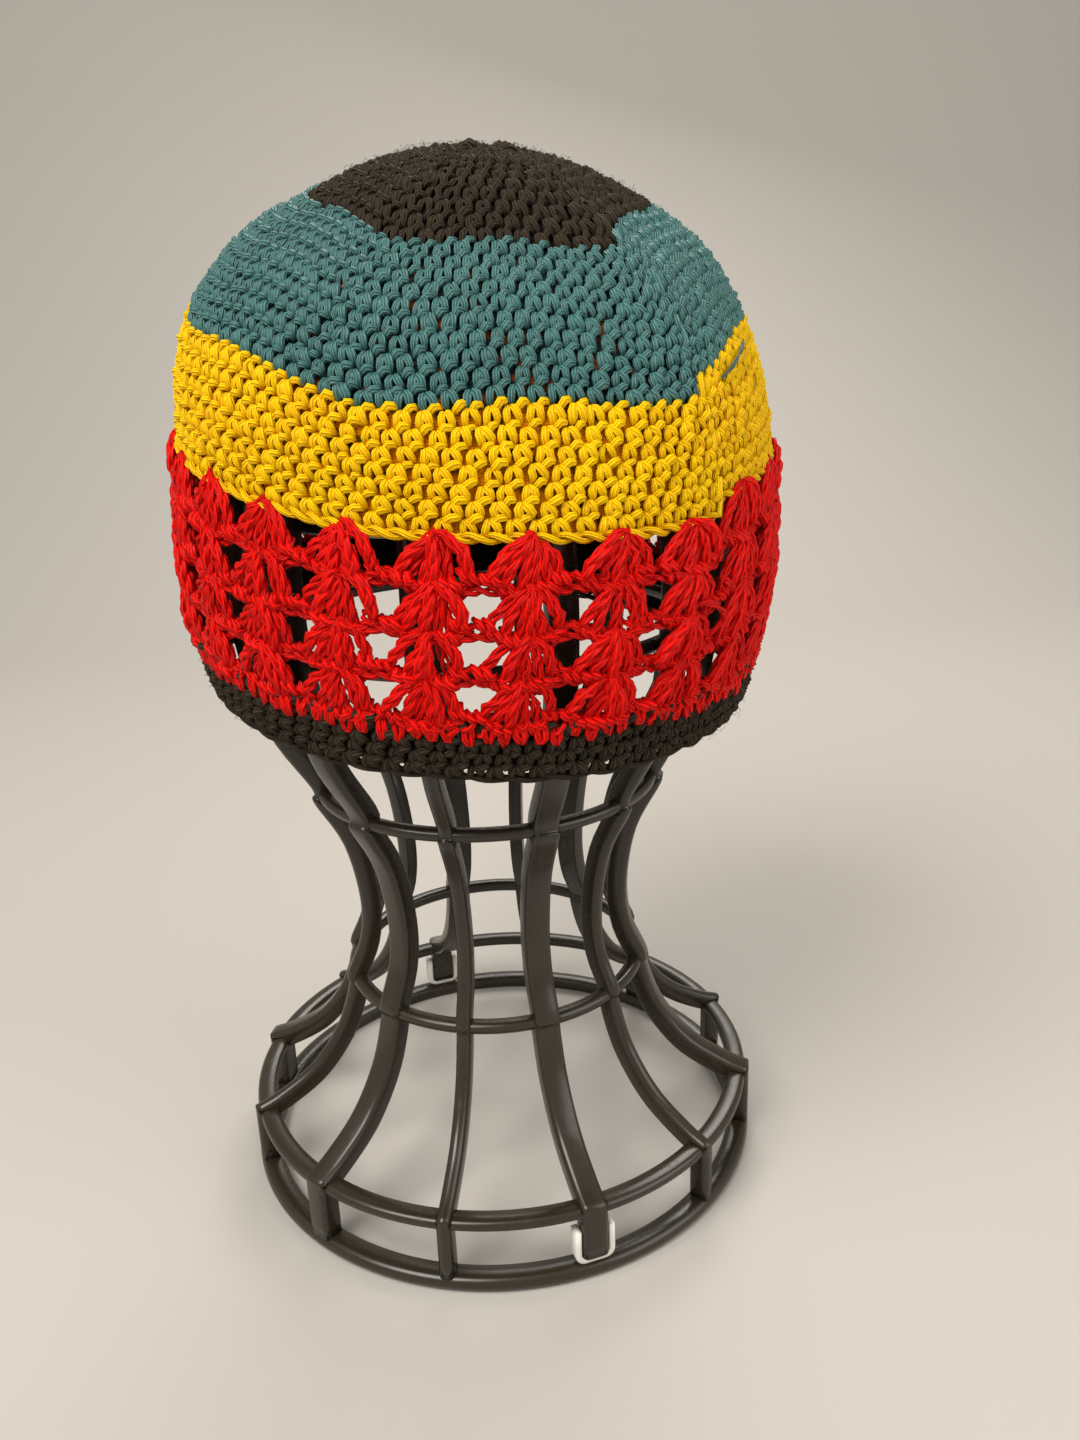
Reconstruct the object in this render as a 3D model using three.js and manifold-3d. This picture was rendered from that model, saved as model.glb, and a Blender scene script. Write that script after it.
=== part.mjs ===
import * as THREE from "three";
import Module from "manifold-3d";

const wasm = await Module();
wasm.setup();

// Clearances and steps, millimetres
const CLEAR = 0.3;
const HAT_STEPS = 48;
const RING_STEPS = 36;

// Stand: radii and heights of its rings and of the head part inside the hat
const FOOT_RADIUS = 90;
const RAIL_INSET = 1.4;
const WAIST_RADIUS = 52.4;
const NECK_RADIUS = 57.9;
const CAGE_RADIUS = 79;
const RAIL_HEIGHT = 21.4;
const WAIST_HEIGHT = 65.5;
const NECK_HEIGHT = 134.5;
const HAT_TOP = 325.5;
const BASE_RING = { outer: FOOT_RADIUS, wide: 7.5, low: 0, high: 5, bevel: 1.6 };
const BASE_RAIL = { outer: FOOT_RADIUS - RAIL_INSET, wide: 6.5, low: RAIL_HEIGHT, high: 3.8, bevel: 1.2 };
const WAIST_RING = { outer: WAIST_RADIUS, wide: 5, low: WAIST_HEIGHT, high: 4, bevel: 1.2 };
const NECK_RING = { outer: NECK_RADIUS, wide: 4.5, low: NECK_HEIGHT, high: 4, bevel: 1.2 };
const CAGE_BAR = { wide: 4, high: 4, bevel: 1 };
const mix = THREE.MathUtils.lerp;
const headUp = (share) => mix(NECK_HEIGHT, HAT_TOP, share);
const CAGE_BAR_HEIGHTS = { low: headUp(0.275), high: headUp(0.479) };

// Stand: ribs. The route is the outer face of a rib, from foot to cap
const RIB_PROUD = 1.3;
const RIB_DEEP = 6.5;
const WIDE_RIB = 8.4;
const NARROW_RIB = 4.8;
const FIRST_WIDE_TURN = 16.6;
const RIB_PAIRS = 6;
const CAP_RADIUS = 18;
const CAP_THICK = 5;
const RIB_FACE = BASE_RAIL.outer + RIB_PROUD;
const RIB_BEND_RISE = 0.8;
const footPoint = (out, up) => ({
  out: mix(FOOT_RADIUS, WAIST_RADIUS, out),
  up: mix(RAIL_HEIGHT, WAIST_HEIGHT, up),
});
const waistUp = (share) => mix(WAIST_HEIGHT, NECK_HEIGHT, share);
const RIB_ROUTE = [
  { name: "rail bend", out: RIB_FACE, up: BASE_RAIL.low + BASE_RAIL.high + RIB_BEND_RISE },
  { name: "foot top", ...footPoint(0.24, 0.19) },
  { name: "foot slope", ...footPoint(0.57, 0.375) },
  { name: "foot curl", ...footPoint(0.83, 0.67) },
  { name: "under waist", out: WAIST_RADIUS + RIB_PROUD, up: WAIST_RING.low - CLEAR },
  { name: "over waist", out: WAIST_RADIUS + RIB_PROUD, up: WAIST_RING.low + WAIST_RING.high + CLEAR },
  { name: "above waist", out: 0.92 * WAIST_RADIUS, up: waistUp(0.25) },
  { name: "narrowest", out: 0.9 * WAIST_RADIUS, up: waistUp(0.47) },
  { name: "neck curl", out: 0.88 * NECK_RADIUS, up: waistUp(0.76) },
  { name: "under neck", out: NECK_RADIUS + RIB_PROUD, up: NECK_RING.low - CLEAR },
  { name: "over neck", out: NECK_RADIUS + RIB_PROUD, up: NECK_RING.low + NECK_RING.high + CLEAR },
  { name: "hem", out: mix(NECK_RADIUS, CAGE_RADIUS, 0.6), up: headUp(0.128) },
  { name: "head low", out: 0.97 * CAGE_RADIUS, up: headUp(0.254) },
  { name: "head wide", out: CAGE_RADIUS, up: headUp(0.395) },
  { name: "head high", out: 0.95 * CAGE_RADIUS, up: headUp(0.552) },
  { name: "brow", out: 0.8 * CAGE_RADIUS, up: headUp(0.699) },
  { name: "dome", out: 0.54 * CAGE_RADIUS, up: headUp(0.819) },
];
const HEAD_START = RIB_ROUTE.findIndex((p) => p.name === "over neck");

// White clips that hold two of the wide feet
const CLIP = { thick: 2, tall: 12, deep: 4.5, inset: 1.2 };
const CLIPPED = { front: 0, back: RIB_PAIRS / 2 };
const wideTurn = (i) => FIRST_WIDE_TURN + (360 / RIB_PAIRS) * i;

// Hat: each level is a tilted hoop, with its centre on the stand's axis plus a shift.
// Corner swells it at its six corners; wave draws the rows down there, as a share of a level
const HAT_WALL = 3;
const HAT_EASE = 11;
const HAT_RADIUS = CAGE_RADIUS + HAT_EASE;
const HAT_DEPTH = 151.5;
const HAT_SIDE_TILT = 4.5;
const HAT_CORNERS = 6;
const HAT_LEVELS = [
  { name: "peak", out: 0, down: 0, tilt: 15, shift: 9, corner: 0, wave: 0, turn: -30 },
  { name: "crown", out: 0.29, down: 0.026, tilt: 15.5, shift: 8.8, corner: 0.02, wave: 0.02, turn: -28 },
  { name: "black_green", out: 0.535, down: 0.092, tilt: 17, shift: 8.3, corner: 0.033, wave: 0.06, turn: -26 },
  { name: "green", out: 0.74, down: 0.168, tilt: 16.6, shift: 6.2, corner: 0.025, wave: 0.07, turn: -23 },
  { name: "green_yellow", out: 0.893, down: 0.288, tilt: 16.3, shift: 4, corner: 0.014, wave: 0.085, turn: -19.5 },
  { name: "yellow", out: 0.957, down: 0.402, tilt: 14, shift: 3.6, corner: 0.006, wave: 0.05, turn: -19 },
  { name: "yellow_red", out: 0.978, down: 0.516, tilt: 11.3, shift: 3.2, corner: 0, wave: 0.02, turn: -19 },
  { name: "widest", out: 1, down: 0.683, tilt: 9.5, shift: 2, corner: 0, wave: 0, turn: -19 },
  { name: "red_black", out: 0.973, down: 0.881, tilt: 7.5, shift: 0.5, corner: 0, wave: 0, turn: -19 },
  { name: "edge", out: 0.933, down: 1, tilt: 6, shift: 0, corner: 0, wave: 0, turn: -19 },
];
// Steps along the profile: for the surface's slope, and for the flat spot at the peak
const SLOPE_STEP = 0.02;
const PEAK_SPOT = 0.05;
const HAT_BANDS = [
  { name: "crown_top", from: "peak", to: "black_green", rows: 3, colour: 0x2b241b },
  { name: "green_band", from: "black_green", to: "green_yellow", rows: 3, colour: 0x2f7272 },
  { name: "yellow_band", from: "green_yellow", to: "yellow_red", rows: 3, colour: 0xf7bd08 },
  { name: "red_lace", from: "yellow_red", to: "red_black", rows: 4, colour: 0xe01a08 },
  { name: "black_hem", from: "red_black", to: "edge", rows: 1, colour: 0x2b241b },
];
const LACE_COLUMNS = 24;
const LACE_DRIFT = -0.6;
// One gap of the lace: across is a share of a column from its middle, down a share of a row
const LACE_GAP = [
  { across: -0.3, down: 0.22 },
  { across: 0, down: 0.1 },
  { across: 0.3, down: 0.22 },
  { across: 0.2, down: 0.54 },
  { across: 0, down: 0.86 },
  { across: -0.2, down: 0.54 },
];

const PLASTIC = { color: 0x332d25, roughness: 0.32, metalness: 0 };
const CLIP_PLASTIC = { color: 0xe6e2d8, roughness: 0.5, metalness: 0 };
const YARN = { roughness: 0.85, metalness: 0 };
const rad = THREE.MathUtils.degToRad;

// Turns about the axis: 0 faces the viewer (-Y), positive towards +X
function around(out, turn, up) {
  return new THREE.Vector3(out * Math.sin(rad(turn)), -out * Math.cos(rad(turn)), up);
}

function manifoldOf(points, triangles) {
  const mesh = new wasm.Mesh({
    numProp: 3,
    vertProperties: new Float32Array(points.flatMap((p) => [p.x, p.y, p.z])),
    triVerts: new Uint32Array(triangles.flat()),
  });
  mesh.merge();
  return new wasm.Manifold(mesh);
}

function geometryFromManifold(solid) {
  const mesh = solid.getMesh();
  const geometry = new THREE.BufferGeometry();
  geometry.setAttribute("position", new THREE.BufferAttribute(new Float32Array(mesh.vertProperties), 3));
  geometry.setIndex(new THREE.BufferAttribute(new Uint32Array(mesh.triVerts), 1));
  return geometry;
}

function addNode(group, name, geometry, look) {
  geometry.computeVertexNormals();
  const mesh = new THREE.Mesh(geometry, new THREE.MeshStandardMaterial(look));
  mesh.name = name;
  group.add(mesh);
}

// Sweeps closed loops of equal length into a skin; a closed sweep joins its last loop to its first
function skinLoops(loops, closed) {
  const size = loops[0].length;
  const points = loops.flat();
  const triangles = [];
  const count = closed ? loops.length : loops.length - 1;
  for (let i = 0; i < count; i += 1) {
    const a = i * size;
    const b = ((i + 1) % loops.length) * size;
    for (let k = 0; k < size; k += 1) {
      const m = (k + 1) % size;
      triangles.push([a + k, b + k, b + m], [a + k, b + m, a + m]);
    }
  }
  if (!closed) {
    const last = (loops.length - 1) * size;
    for (let k = 1; k < size - 1; k += 1) {
      triangles.push([0, k, k + 1], [last, last + k + 1, last + k]);
    }
  }
  return { points, triangles };
}

// Rings
function ringSection(ring) {
  const inner = ring.outer - ring.wide;
  const outer = ring.outer;
  const low = ring.low;
  const high = ring.low + ring.high;
  return [
    { out: inner, up: low },
    { out: outer - ring.bevel, up: low },
    { out: outer, up: (low + high) / 2 },
    { out: outer - ring.bevel, up: high },
    { out: inner, up: high },
  ];
}

// The room that a ring or the cap takes in each rib that passes it
function roomSection(ring) {
  const inner = ring.outer - ring.wide - 2 * RIB_DEEP;
  const low = ring.low - CLEAR;
  const high = ring.low + ring.high + CLEAR;
  return [
    { out: inner, up: low },
    { out: ring.outer + CLEAR, up: low },
    { out: ring.outer + CLEAR, up: high },
    { out: inner, up: high },
  ];
}

// Facets start between two ribs, so that each rib meets a flat one
function ringSkin(section) {
  const loops = [];
  for (let i = 0; i < RING_STEPS; i += 1) {
    const turn = FIRST_WIDE_TURN + (360 * (i + 0.5)) / RING_STEPS;
    loops.push(section.map((s) => around(s.out, turn, s.up)));
  }
  return skinLoops(loops, true);
}

// A rib: the outer face's route, and the inner face offset square to it
function ribRoute(foot) {
  const bend = RIB_ROUTE[0];
  return [{ out: bend.out, up: foot }, ...RIB_ROUTE, { out: CAP_RADIUS + CLEAR, up: CAP_TOP - CAP_THICK / 2 }];
}

function ribInner(route, i) {
  const here = new THREE.Vector2(route[i].out, route[i].up);
  const before = i > 0 ? new THREE.Vector2(route[i - 1].out, route[i - 1].up) : null;
  const after = i < route.length - 1 ? new THREE.Vector2(route[i + 1].out, route[i + 1].up) : null;
  const first = before ? here.clone().sub(before).normalize() : after.clone().sub(here).normalize();
  const second = after ? after.clone().sub(here).normalize() : first;
  const along = first.clone().add(second).normalize();
  const stretch = 1 / Math.max(0.5, along.dot(first));
  return { out: here.x - along.y * RIB_DEEP * stretch, up: here.y + along.x * RIB_DEEP * stretch };
}

function ribSolid(turn, wide, foot, notches) {
  const route = ribRoute(foot);
  const side = around(1, turn + 90, 0).multiplyScalar(wide / 2);
  const loops = route.map((p, i) => {
    const inner = ribInner(route, i);
    const face = around(p.out, turn, p.up);
    const back = around(inner.out, turn, inner.up);
    return [
      face.clone().add(side),
      face.clone().sub(side),
      back.clone().sub(side),
      back.clone().add(side),
    ];
  });
  const skin = skinLoops(loops, false);
  return notches.reduce((solid, notch) => solid.subtract(notch), manifoldOf(skin.points, skin.triangles));
}

// Inner face of a rib at a height on the head part, where the cage bars lie
function ribInnerAt(up) {
  const route = ribRoute(BASE_RING.high);
  const inner = route.map((p, i) => ribInner(route, i)).slice(HEAD_START + 1);
  for (let i = 0; i < inner.length - 1; i += 1) {
    const a = inner[i];
    const b = inner[i + 1];
    if (a.up <= up && up <= b.up) {
      return a.out + ((b.out - a.out) * (up - a.up)) / (b.up - a.up);
    }
  }
  return inner[inner.length - 1].out;
}

function cageBar(up) {
  const reach = Math.min(ribInnerAt(up), ribInnerAt(up + CAGE_BAR.high));
  return { outer: reach - CLEAR, ...CAGE_BAR, low: up };
}

// Hat surface
function blend(a, b, c, d, t) {
  const m = (c - a) / 2;
  const n = (d - b) / 2;
  const t2 = t * t;
  const t3 = t2 * t;
  return (2 * t3 - 3 * t2 + 1) * b + (t3 - 2 * t2 + t) * m + (3 * t2 - 2 * t3) * c + (t3 - t2) * n;
}

function levelAt(u) {
  const last = HAT_LEVELS.length - 1;
  const i = Math.min(last - 1, Math.max(0, Math.floor(u)));
  const mirrored = { ...HAT_LEVELS[1], out: -HAT_LEVELS[1].out };
  const keys = [HAT_LEVELS[i - 1] ?? mirrored, HAT_LEVELS[i], HAT_LEVELS[i + 1], HAT_LEVELS[i + 2]];
  keys[3] = keys[3] ?? keys[2];
  const value = (field) => blend(...keys.map((key) => key[field]), u - i);
  return {
    out: value("out") * HAT_RADIUS,
    up: HAT_TOP - value("down") * HAT_DEPTH,
    tilt: value("tilt"),
    shift: value("shift"),
    corner: value("corner"),
    wave: value("wave"),
    turn: value("turn"),
  };
}

function hatPoint(u, turn) {
  const row = levelAt(u);
  const bulge = Math.cos(rad(HAT_CORNERS * (turn - row.turn)));
  const level = levelAt(u + row.wave * bulge);
  const out = level.out * (1 + level.corner * bulge);
  const p = around(out, turn, 0);
  p.applyAxisAngle(new THREE.Vector3(1, 0, 0), rad(level.tilt));
  p.applyAxisAngle(new THREE.Vector3(0, 1, 0), rad(HAT_SIDE_TILT));
  return p.add(new THREE.Vector3(level.shift, 0, level.up));
}

function hatPair(u, turn) {
  const safe = Math.max(u, PEAK_SPOT + SLOPE_STEP);
  const outer = hatPoint(u, turn);
  const along = hatPoint(safe + SLOPE_STEP, turn).sub(hatPoint(safe - SLOPE_STEP, turn));
  const across = hatPoint(safe, turn + 1).sub(hatPoint(safe, turn - 1));
  const normal = u > PEAK_SPOT ? along.cross(across).normalize() : hatAxis();
  return { outer, inner: outer.clone().addScaledVector(normal, -HAT_WALL) };
}

function hatAxis() {
  const axis = new THREE.Vector3(0, 0, 1);
  axis.applyAxisAngle(new THREE.Vector3(1, 0, 0), rad(HAT_LEVELS[0].tilt));
  return axis.applyAxisAngle(new THREE.Vector3(0, 1, 0), rad(HAT_SIDE_TILT));
}

function levelIndex(name) {
  return HAT_LEVELS.findIndex((level) => level.name === name);
}

// A band's ends stop short of its neighbours by half the clearance
function bandEnds(band) {
  const start = levelIndex(band.from);
  const end = levelIndex(band.to);
  const trim = (u, way) => {
    const rise = hatPoint(u, 0).distanceTo(hatPoint(u + way * 0.1, 0)) / 0.1;
    return u + (way * CLEAR) / 2 / rise;
  };
  return {
    start: start === 0 ? 0 : trim(start, 1),
    end: end === HAT_LEVELS.length - 1 ? end : trim(end, -1),
  };
}

// A plain band: a wall of rows and columns, closed at its ends or over the peak
function bandGeometry(band) {
  const { start, end } = bandEnds(band);
  const peaked = start === 0;
  const points = [];
  const triangles = [];
  const rings = { outer: [], inner: [] };
  for (let row = peaked ? 1 : 0; row <= band.rows; row += 1) {
    const u = start + ((end - start) * row) / band.rows;
    const pairs = [];
    for (let i = 0; i < HAT_STEPS; i += 1) {
      pairs.push(hatPair(u, (360 * i) / HAT_STEPS));
    }
    for (const side of ["outer", "inner"]) {
      rings[side].push(points.length);
      points.push(...pairs.map((pair) => pair[side]));
    }
  }
  const join = (a, b, flip) => {
    for (let i = 0; i < HAT_STEPS; i += 1) {
      const j = (i + 1) % HAT_STEPS;
      const quad = [[a + i, b + i, b + j], [a + i, b + j, a + j]];
      triangles.push(...quad.map((t) => (flip ? [t[0], t[2], t[1]] : t)));
    }
  };
  for (let k = 0; k < rings.outer.length - 1; k += 1) {
    join(rings.outer[k], rings.outer[k + 1], false);
    join(rings.inner[k], rings.inner[k + 1], true);
  }
  join(rings.outer.at(-1), rings.inner.at(-1), false);
  if (peaked) {
    const tip = hatPair(0, 0);
    const top = points.push(tip.outer) - 1;
    const under = points.push(tip.inner) - 1;
    for (let i = 0; i < HAT_STEPS; i += 1) {
      const j = (i + 1) % HAT_STEPS;
      triangles.push([top, rings.outer[0] + i, rings.outer[0] + j]);
      triangles.push([under, rings.inner[0] + j, rings.inner[0] + i]);
    }
  } else {
    join(rings.outer[0], rings.inner[0], true);
  }
  return { points, triangles };
}

// The lace: every column and row is a frame round one cut-through gap
function laceSkin(band) {
  const { start, end } = bandEnds(band);
  const points = [];
  const triangles = [];
  const seen = new Map();
  const pitch = 360 / LACE_COLUMNS;
  const at = (half, across, down) => {
    const column = ((half % (2 * LACE_COLUMNS)) + 2 * LACE_COLUMNS) % (2 * LACE_COLUMNS);
    const key = `${column}:${across}:${down}`;
    if (!seen.has(key)) {
      const u = start + ((end - start) * down) / band.rows;
      const turn = pitch * (column / 2 + across) + LACE_DRIFT * down;
      const pair = hatPair(u, turn);
      seen.set(key, points.push(pair.outer) - 1);
      points.push(pair.inner);
    }
    return seen.get(key);
  };
  const wall = (a, b) => triangles.push([a, b + 1, a + 1], [a, b, b + 1]);
  for (let column = 0; column < LACE_COLUMNS; column += 1) {
    for (let row = 0; row < band.rows; row += 1) {
      const mid = 2 * column;
      const rim = [
        at(mid - 1, 0, row),
        at(mid, 0, row),
        at(mid + 1, 0, row),
        at(mid + 1, 0, row + 1),
        at(mid, 0, row + 1),
        at(mid - 1, 0, row + 1),
      ];
      const gap = LACE_GAP.map((g) => at(mid, g.across, row + g.down));
      for (let k = 0; k < rim.length; k += 1) {
        const m = (k + 1) % rim.length;
        const faces = [[rim[k], gap[k], gap[m]], [rim[k], gap[m], rim[m]]];
        triangles.push(...faces);
        triangles.push(...faces.map((t) => [t[0] + 1, t[2] + 1, t[1] + 1]));
        wall(gap[m], gap[k]);
      }
      if (row === 0) {
        wall(rim[0], rim[1]);
        wall(rim[1], rim[2]);
      }
      if (row === band.rows - 1) {
        wall(rim[3], rim[4]);
        wall(rim[4], rim[5]);
      }
    }
  }
  return { points, triangles };
}

// The cap stands just under the crown
function capTop() {
  let top = Infinity;
  for (let turn = 0; turn < 360; turn += 10) {
    for (let u = 0; u < 1; u += PEAK_SPOT) {
      const inner = hatPair(u, turn).inner;
      if (Math.hypot(inner.x, inner.y) < CAP_RADIUS) {
        top = Math.min(top, inner.z);
      }
    }
  }
  return top - CLEAR;
}

const CAP_TOP = capTop();
const CAP = { outer: CAP_RADIUS, wide: CAP_RADIUS / 2, low: CAP_TOP - CAP_THICK, high: CAP_THICK, bevel: 0.5 };

// A clip: a U of flat strip under a foot and up both of its sides
function clipGeometry(turn) {
  const half = WIDE_RIB / 2 + CLEAR;
  const u = new THREE.Shape();
  u.moveTo(-half - CLIP.thick, 0);
  u.lineTo(half + CLIP.thick, 0);
  u.lineTo(half + CLIP.thick, CLIP.tall);
  u.lineTo(half, CLIP.tall);
  u.lineTo(half, CLIP.thick);
  u.lineTo(-half, CLIP.thick);
  u.lineTo(-half, CLIP.tall);
  u.lineTo(-half - CLIP.thick, CLIP.tall);
  u.closePath();
  const geometry = new THREE.ExtrudeGeometry(u, { depth: CLIP.deep, bevelEnabled: false });
  geometry.rotateX(Math.PI / 2);
  geometry.translate(0, -(RIB_FACE - CLIP.inset - CLIP.deep), BASE_RING.high + CLEAR);
  geometry.rotateZ(rad(turn));
  return geometry;
}

function closedSolid(skin) {
  const solid = manifoldOf(skin.points, skin.triangles);
  if (solid.status() !== "NoError") {
    throw new Error(`open or crossing skin: ${solid.status()}`);
  }
  return solid;
}

function build() {
  const group = new THREE.Group();
  group.name = "rasta_tam";
  const rings = {
    base_ring: BASE_RING,
    base_rail: BASE_RAIL,
    waist_ring: WAIST_RING,
    neck_ring: NECK_RING,
    cage_bar_low: cageBar(CAGE_BAR_HEIGHTS.low),
    cage_bar_high: cageBar(CAGE_BAR_HEIGHTS.high),
    cage_cap: CAP,
  };
  for (const [name, ring] of Object.entries(rings)) {
    addNode(group, name, geometryFromManifold(closedSolid(ringSkin(ringSection(ring)))), PLASTIC);
  }
  const notches = [BASE_RAIL, WAIST_RING, NECK_RING, CAP].map((ring) => closedSolid(ringSkin(roomSection(ring))));
  const foot = BASE_RING.high + CLEAR;
  for (let i = 0; i < RIB_PAIRS; i += 1) {
    const turn = wideTurn(i);
    const clipped = Object.values(CLIPPED).includes(i);
    const wideFoot = clipped ? foot + CLIP.thick + CLEAR : foot;
    const narrowTurn = turn + 180 / RIB_PAIRS;
    const wide = ribSolid(turn, WIDE_RIB, wideFoot, notches);
    const narrow = ribSolid(narrowTurn, NARROW_RIB, foot, notches);
    addNode(group, `wide_rib_${i + 1}`, geometryFromManifold(wide), PLASTIC);
    addNode(group, `narrow_rib_${i + 1}`, geometryFromManifold(narrow), PLASTIC);
  }
  for (const [name, i] of Object.entries(CLIPPED)) {
    addNode(group, `${name}_clip`, clipGeometry(wideTurn(i)), CLIP_PLASTIC);
  }
  for (const band of HAT_BANDS) {
    const skin = band.name === "red_lace" ? laceSkin(band) : bandGeometry(band);
    addNode(group, band.name, geometryFromManifold(closedSolid(skin)), { ...YARN, color: band.colour });
  }
  const bounds = new THREE.Box3().setFromObject(group);
  const middle = bounds.getCenter(new THREE.Vector3());
  for (const mesh of group.children) {
    mesh.geometry.translate(-middle.x, -middle.y, -bounds.min.z);
  }
  return group;
}

export default build();
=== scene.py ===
import math

import bpy
import numpy as np
from mathutils import Matrix, Vector


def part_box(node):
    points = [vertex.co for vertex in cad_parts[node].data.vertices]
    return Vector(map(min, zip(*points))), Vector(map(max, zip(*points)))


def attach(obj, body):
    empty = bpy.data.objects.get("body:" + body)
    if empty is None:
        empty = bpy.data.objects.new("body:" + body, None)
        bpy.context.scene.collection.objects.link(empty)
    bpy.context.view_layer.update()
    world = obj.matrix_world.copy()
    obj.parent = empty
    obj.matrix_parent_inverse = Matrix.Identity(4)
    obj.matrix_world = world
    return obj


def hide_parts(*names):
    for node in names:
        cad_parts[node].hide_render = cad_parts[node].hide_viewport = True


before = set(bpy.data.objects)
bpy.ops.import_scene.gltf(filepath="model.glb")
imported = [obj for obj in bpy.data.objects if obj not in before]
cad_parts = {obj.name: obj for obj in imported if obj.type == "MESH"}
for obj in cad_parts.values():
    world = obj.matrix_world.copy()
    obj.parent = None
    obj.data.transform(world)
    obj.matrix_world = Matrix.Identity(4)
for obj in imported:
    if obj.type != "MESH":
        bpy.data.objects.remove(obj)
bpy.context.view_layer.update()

bl_info = {
    "name": "Crochet tam on a cage stand",
    "version": (1, 0, 0),
    "blender": (4, 5, 0),
    "location": "3D View > Sidebar > Tam",
    "description": "Builds a crocheted cap stitch by stitch on its moulded cage stand",
    "category": "Add Mesh",
}

MM = 0.001
SEED = 7

# The stand's axis runs through the middle of its lowest ring
RING_LOW, RING_HIGH = (Vector(corner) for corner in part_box("base_ring"))
AXIS = (RING_LOW + RING_HIGH) / 2
FOOT_RADIUS = (RING_HIGH.y - RING_LOW.y) / 2 / MM


def node_span(node):
    """Lowest and highest height of a CAD node, in millimetres."""
    low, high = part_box(node)
    return low[2] / MM, high[2] / MM


def node_radius(node):
    """Outer radius of a round CAD node, in millimetres."""
    low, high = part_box(node)
    return (high[1] - low[1]) / 2 / MM


# Stand, in millimetres
RAIL_LOW, RAIL_HIGH = node_span("base_rail")
WAIST_LOW, WAIST_HIGH = node_span("waist_ring")
NECK_LOW, NECK_HIGH = node_span("neck_ring")
CAP_LOW, CAP_HIGH = node_span("cage_cap")
RAIL_RADIUS = node_radius("base_rail")
WAIST_RADIUS = node_radius("waist_ring")
NECK_RADIUS = node_radius("neck_ring")
CAP_RADIUS = node_radius("cage_cap")
CAGE_RADIUS = 79
RIB_PROUD = 1.3
RIB_DEEP = 6.5
FIRST_WIDE_TURN = 16.6
RIB_PAIRS = 6
RIB_STEPS = 84
RING_STEPS = 180
RING_WIDTHS = {
    "base_ring": 7.5,
    "base_rail": 6.5,
    "waist_ring": 5,
    "neck_ring": 4.5,
    "cage_bar_low": 4,
    "cage_bar_high": 4,
    "cage_cap": CAP_RADIUS / 2,
}
CLEAR = 0.3
CLIP_THICK = 2
SEAT_SUNK = 0.4

# Hat: the same hoops as the CAD source, each a tilted ring round the stand's axis
HAT_RADIUS = CAGE_RADIUS + 11
HAT_TOP = 325.5
HAT_DEPTH = 151.5
HAT_SIDE_TILT = 4.5
HAT_CORNERS = 6
HAT_LEVELS = (
    dict(name="peak", out=0, down=0, tilt=15, shift=9, corner=0, wave=0, turn=-30),
    dict(name="crown", out=0.29, down=0.026, tilt=15.5, shift=8.8, corner=0.02, wave=0.02, turn=-28),
    dict(name="black_green", out=0.535, down=0.092, tilt=17, shift=8.3, corner=0.033, wave=0.06, turn=-26),
    dict(name="green", out=0.74, down=0.168, tilt=16.6, shift=6.2, corner=0.025, wave=0.07, turn=-23),
    dict(name="green_yellow", out=0.893, down=0.288, tilt=16.3, shift=4, corner=0.014, wave=0.085, turn=-19.5),
    dict(name="yellow", out=0.957, down=0.402, tilt=14, shift=3.6, corner=0.006, wave=0.05, turn=-19),
    dict(name="yellow_red", out=0.978, down=0.516, tilt=11.3, shift=3.2, corner=0, wave=0.02, turn=-19),
    dict(name="widest", out=1, down=0.683, tilt=9.5, shift=2, corner=0, wave=0, turn=-19),
    dict(name="red_black", out=0.973, down=0.881, tilt=7.5, shift=0.5, corner=0, wave=0, turn=-19),
    dict(name="edge", out=0.933, down=1, tilt=6, shift=0, corner=0, wave=0, turn=-19),
)
LEVEL_NAMES = [level["name"] for level in HAT_LEVELS]
# The profile may run on a little below its last level
LAST_PLACE = len(HAT_LEVELS) - 0.9

# Crochet; the lining's two skins lie below the surface by shares of the yarn, and its low shade value paints
# the lining in dark hole shade
CROWN_ROWS = 10
GREEN_ROWS = 10
YELLOW_ROWS = 7
HEM_ROWS = 4
CROWN_GROWTH = 6
STITCHES_AT_RIM = 96
ROW_SLANT = -0.38
SEAM_TURN = 45
LACE_COLUMNS = 24
LACE_ROWS = 4
LACE_DRIFT = -0.6
STUBS_PER_SHELL = 5
PEAK_KNOT_TURNS = (110, 215)
PEAK_KNOT_YARN = 1.3
LINING_OUTER = -0.65
LINING_INNER = -2.0
LINING_SHADE = 0.12


def level_place(level_name):
    """Place of a named level along the hat's profile."""
    return float(LEVEL_NAMES.index(level_name))


def around(out, turn, up):
    """Points at a radius, a turn from the front in degrees and a height, in millimetres."""
    angle = np.radians(turn)
    return np.stack([out * np.sin(angle), -out * np.cos(angle), up + 0 * angle], -1)


def blend_keys(values, place, before=None):
    """Smooth curve through key values, one per level; before is the value ahead of the first."""
    last = len(values) - 1
    cell = np.clip(np.floor(place).astype(int), 0, last - 1)
    padded = np.concatenate([[values[0] if before is None else before], values, [values[-1]]])
    a, b, c, d = (padded[cell + step] for step in range(4))
    t = place - cell
    rise, fall = (c - a) / 2, (d - b) / 2
    return (
        (2 * t**3 - 3 * t**2 + 1) * b
        + (t**3 - 2 * t**2 + t) * rise
        + (3 * t**2 - 2 * t**3) * c
        + (t**3 - t**2) * fall
    )


def key_column(field):
    """One number of every hat level, from the top down."""
    return np.array([level[field] for level in HAT_LEVELS], float)


OUT_KEYS = key_column("out")
DOWN_KEYS = key_column("down")
TILT_KEYS = key_column("tilt")
SHIFT_KEYS = key_column("shift")
CORNER_KEYS = key_column("corner")
WAVE_KEYS = key_column("wave")
TURN_KEYS = key_column("turn")


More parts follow.
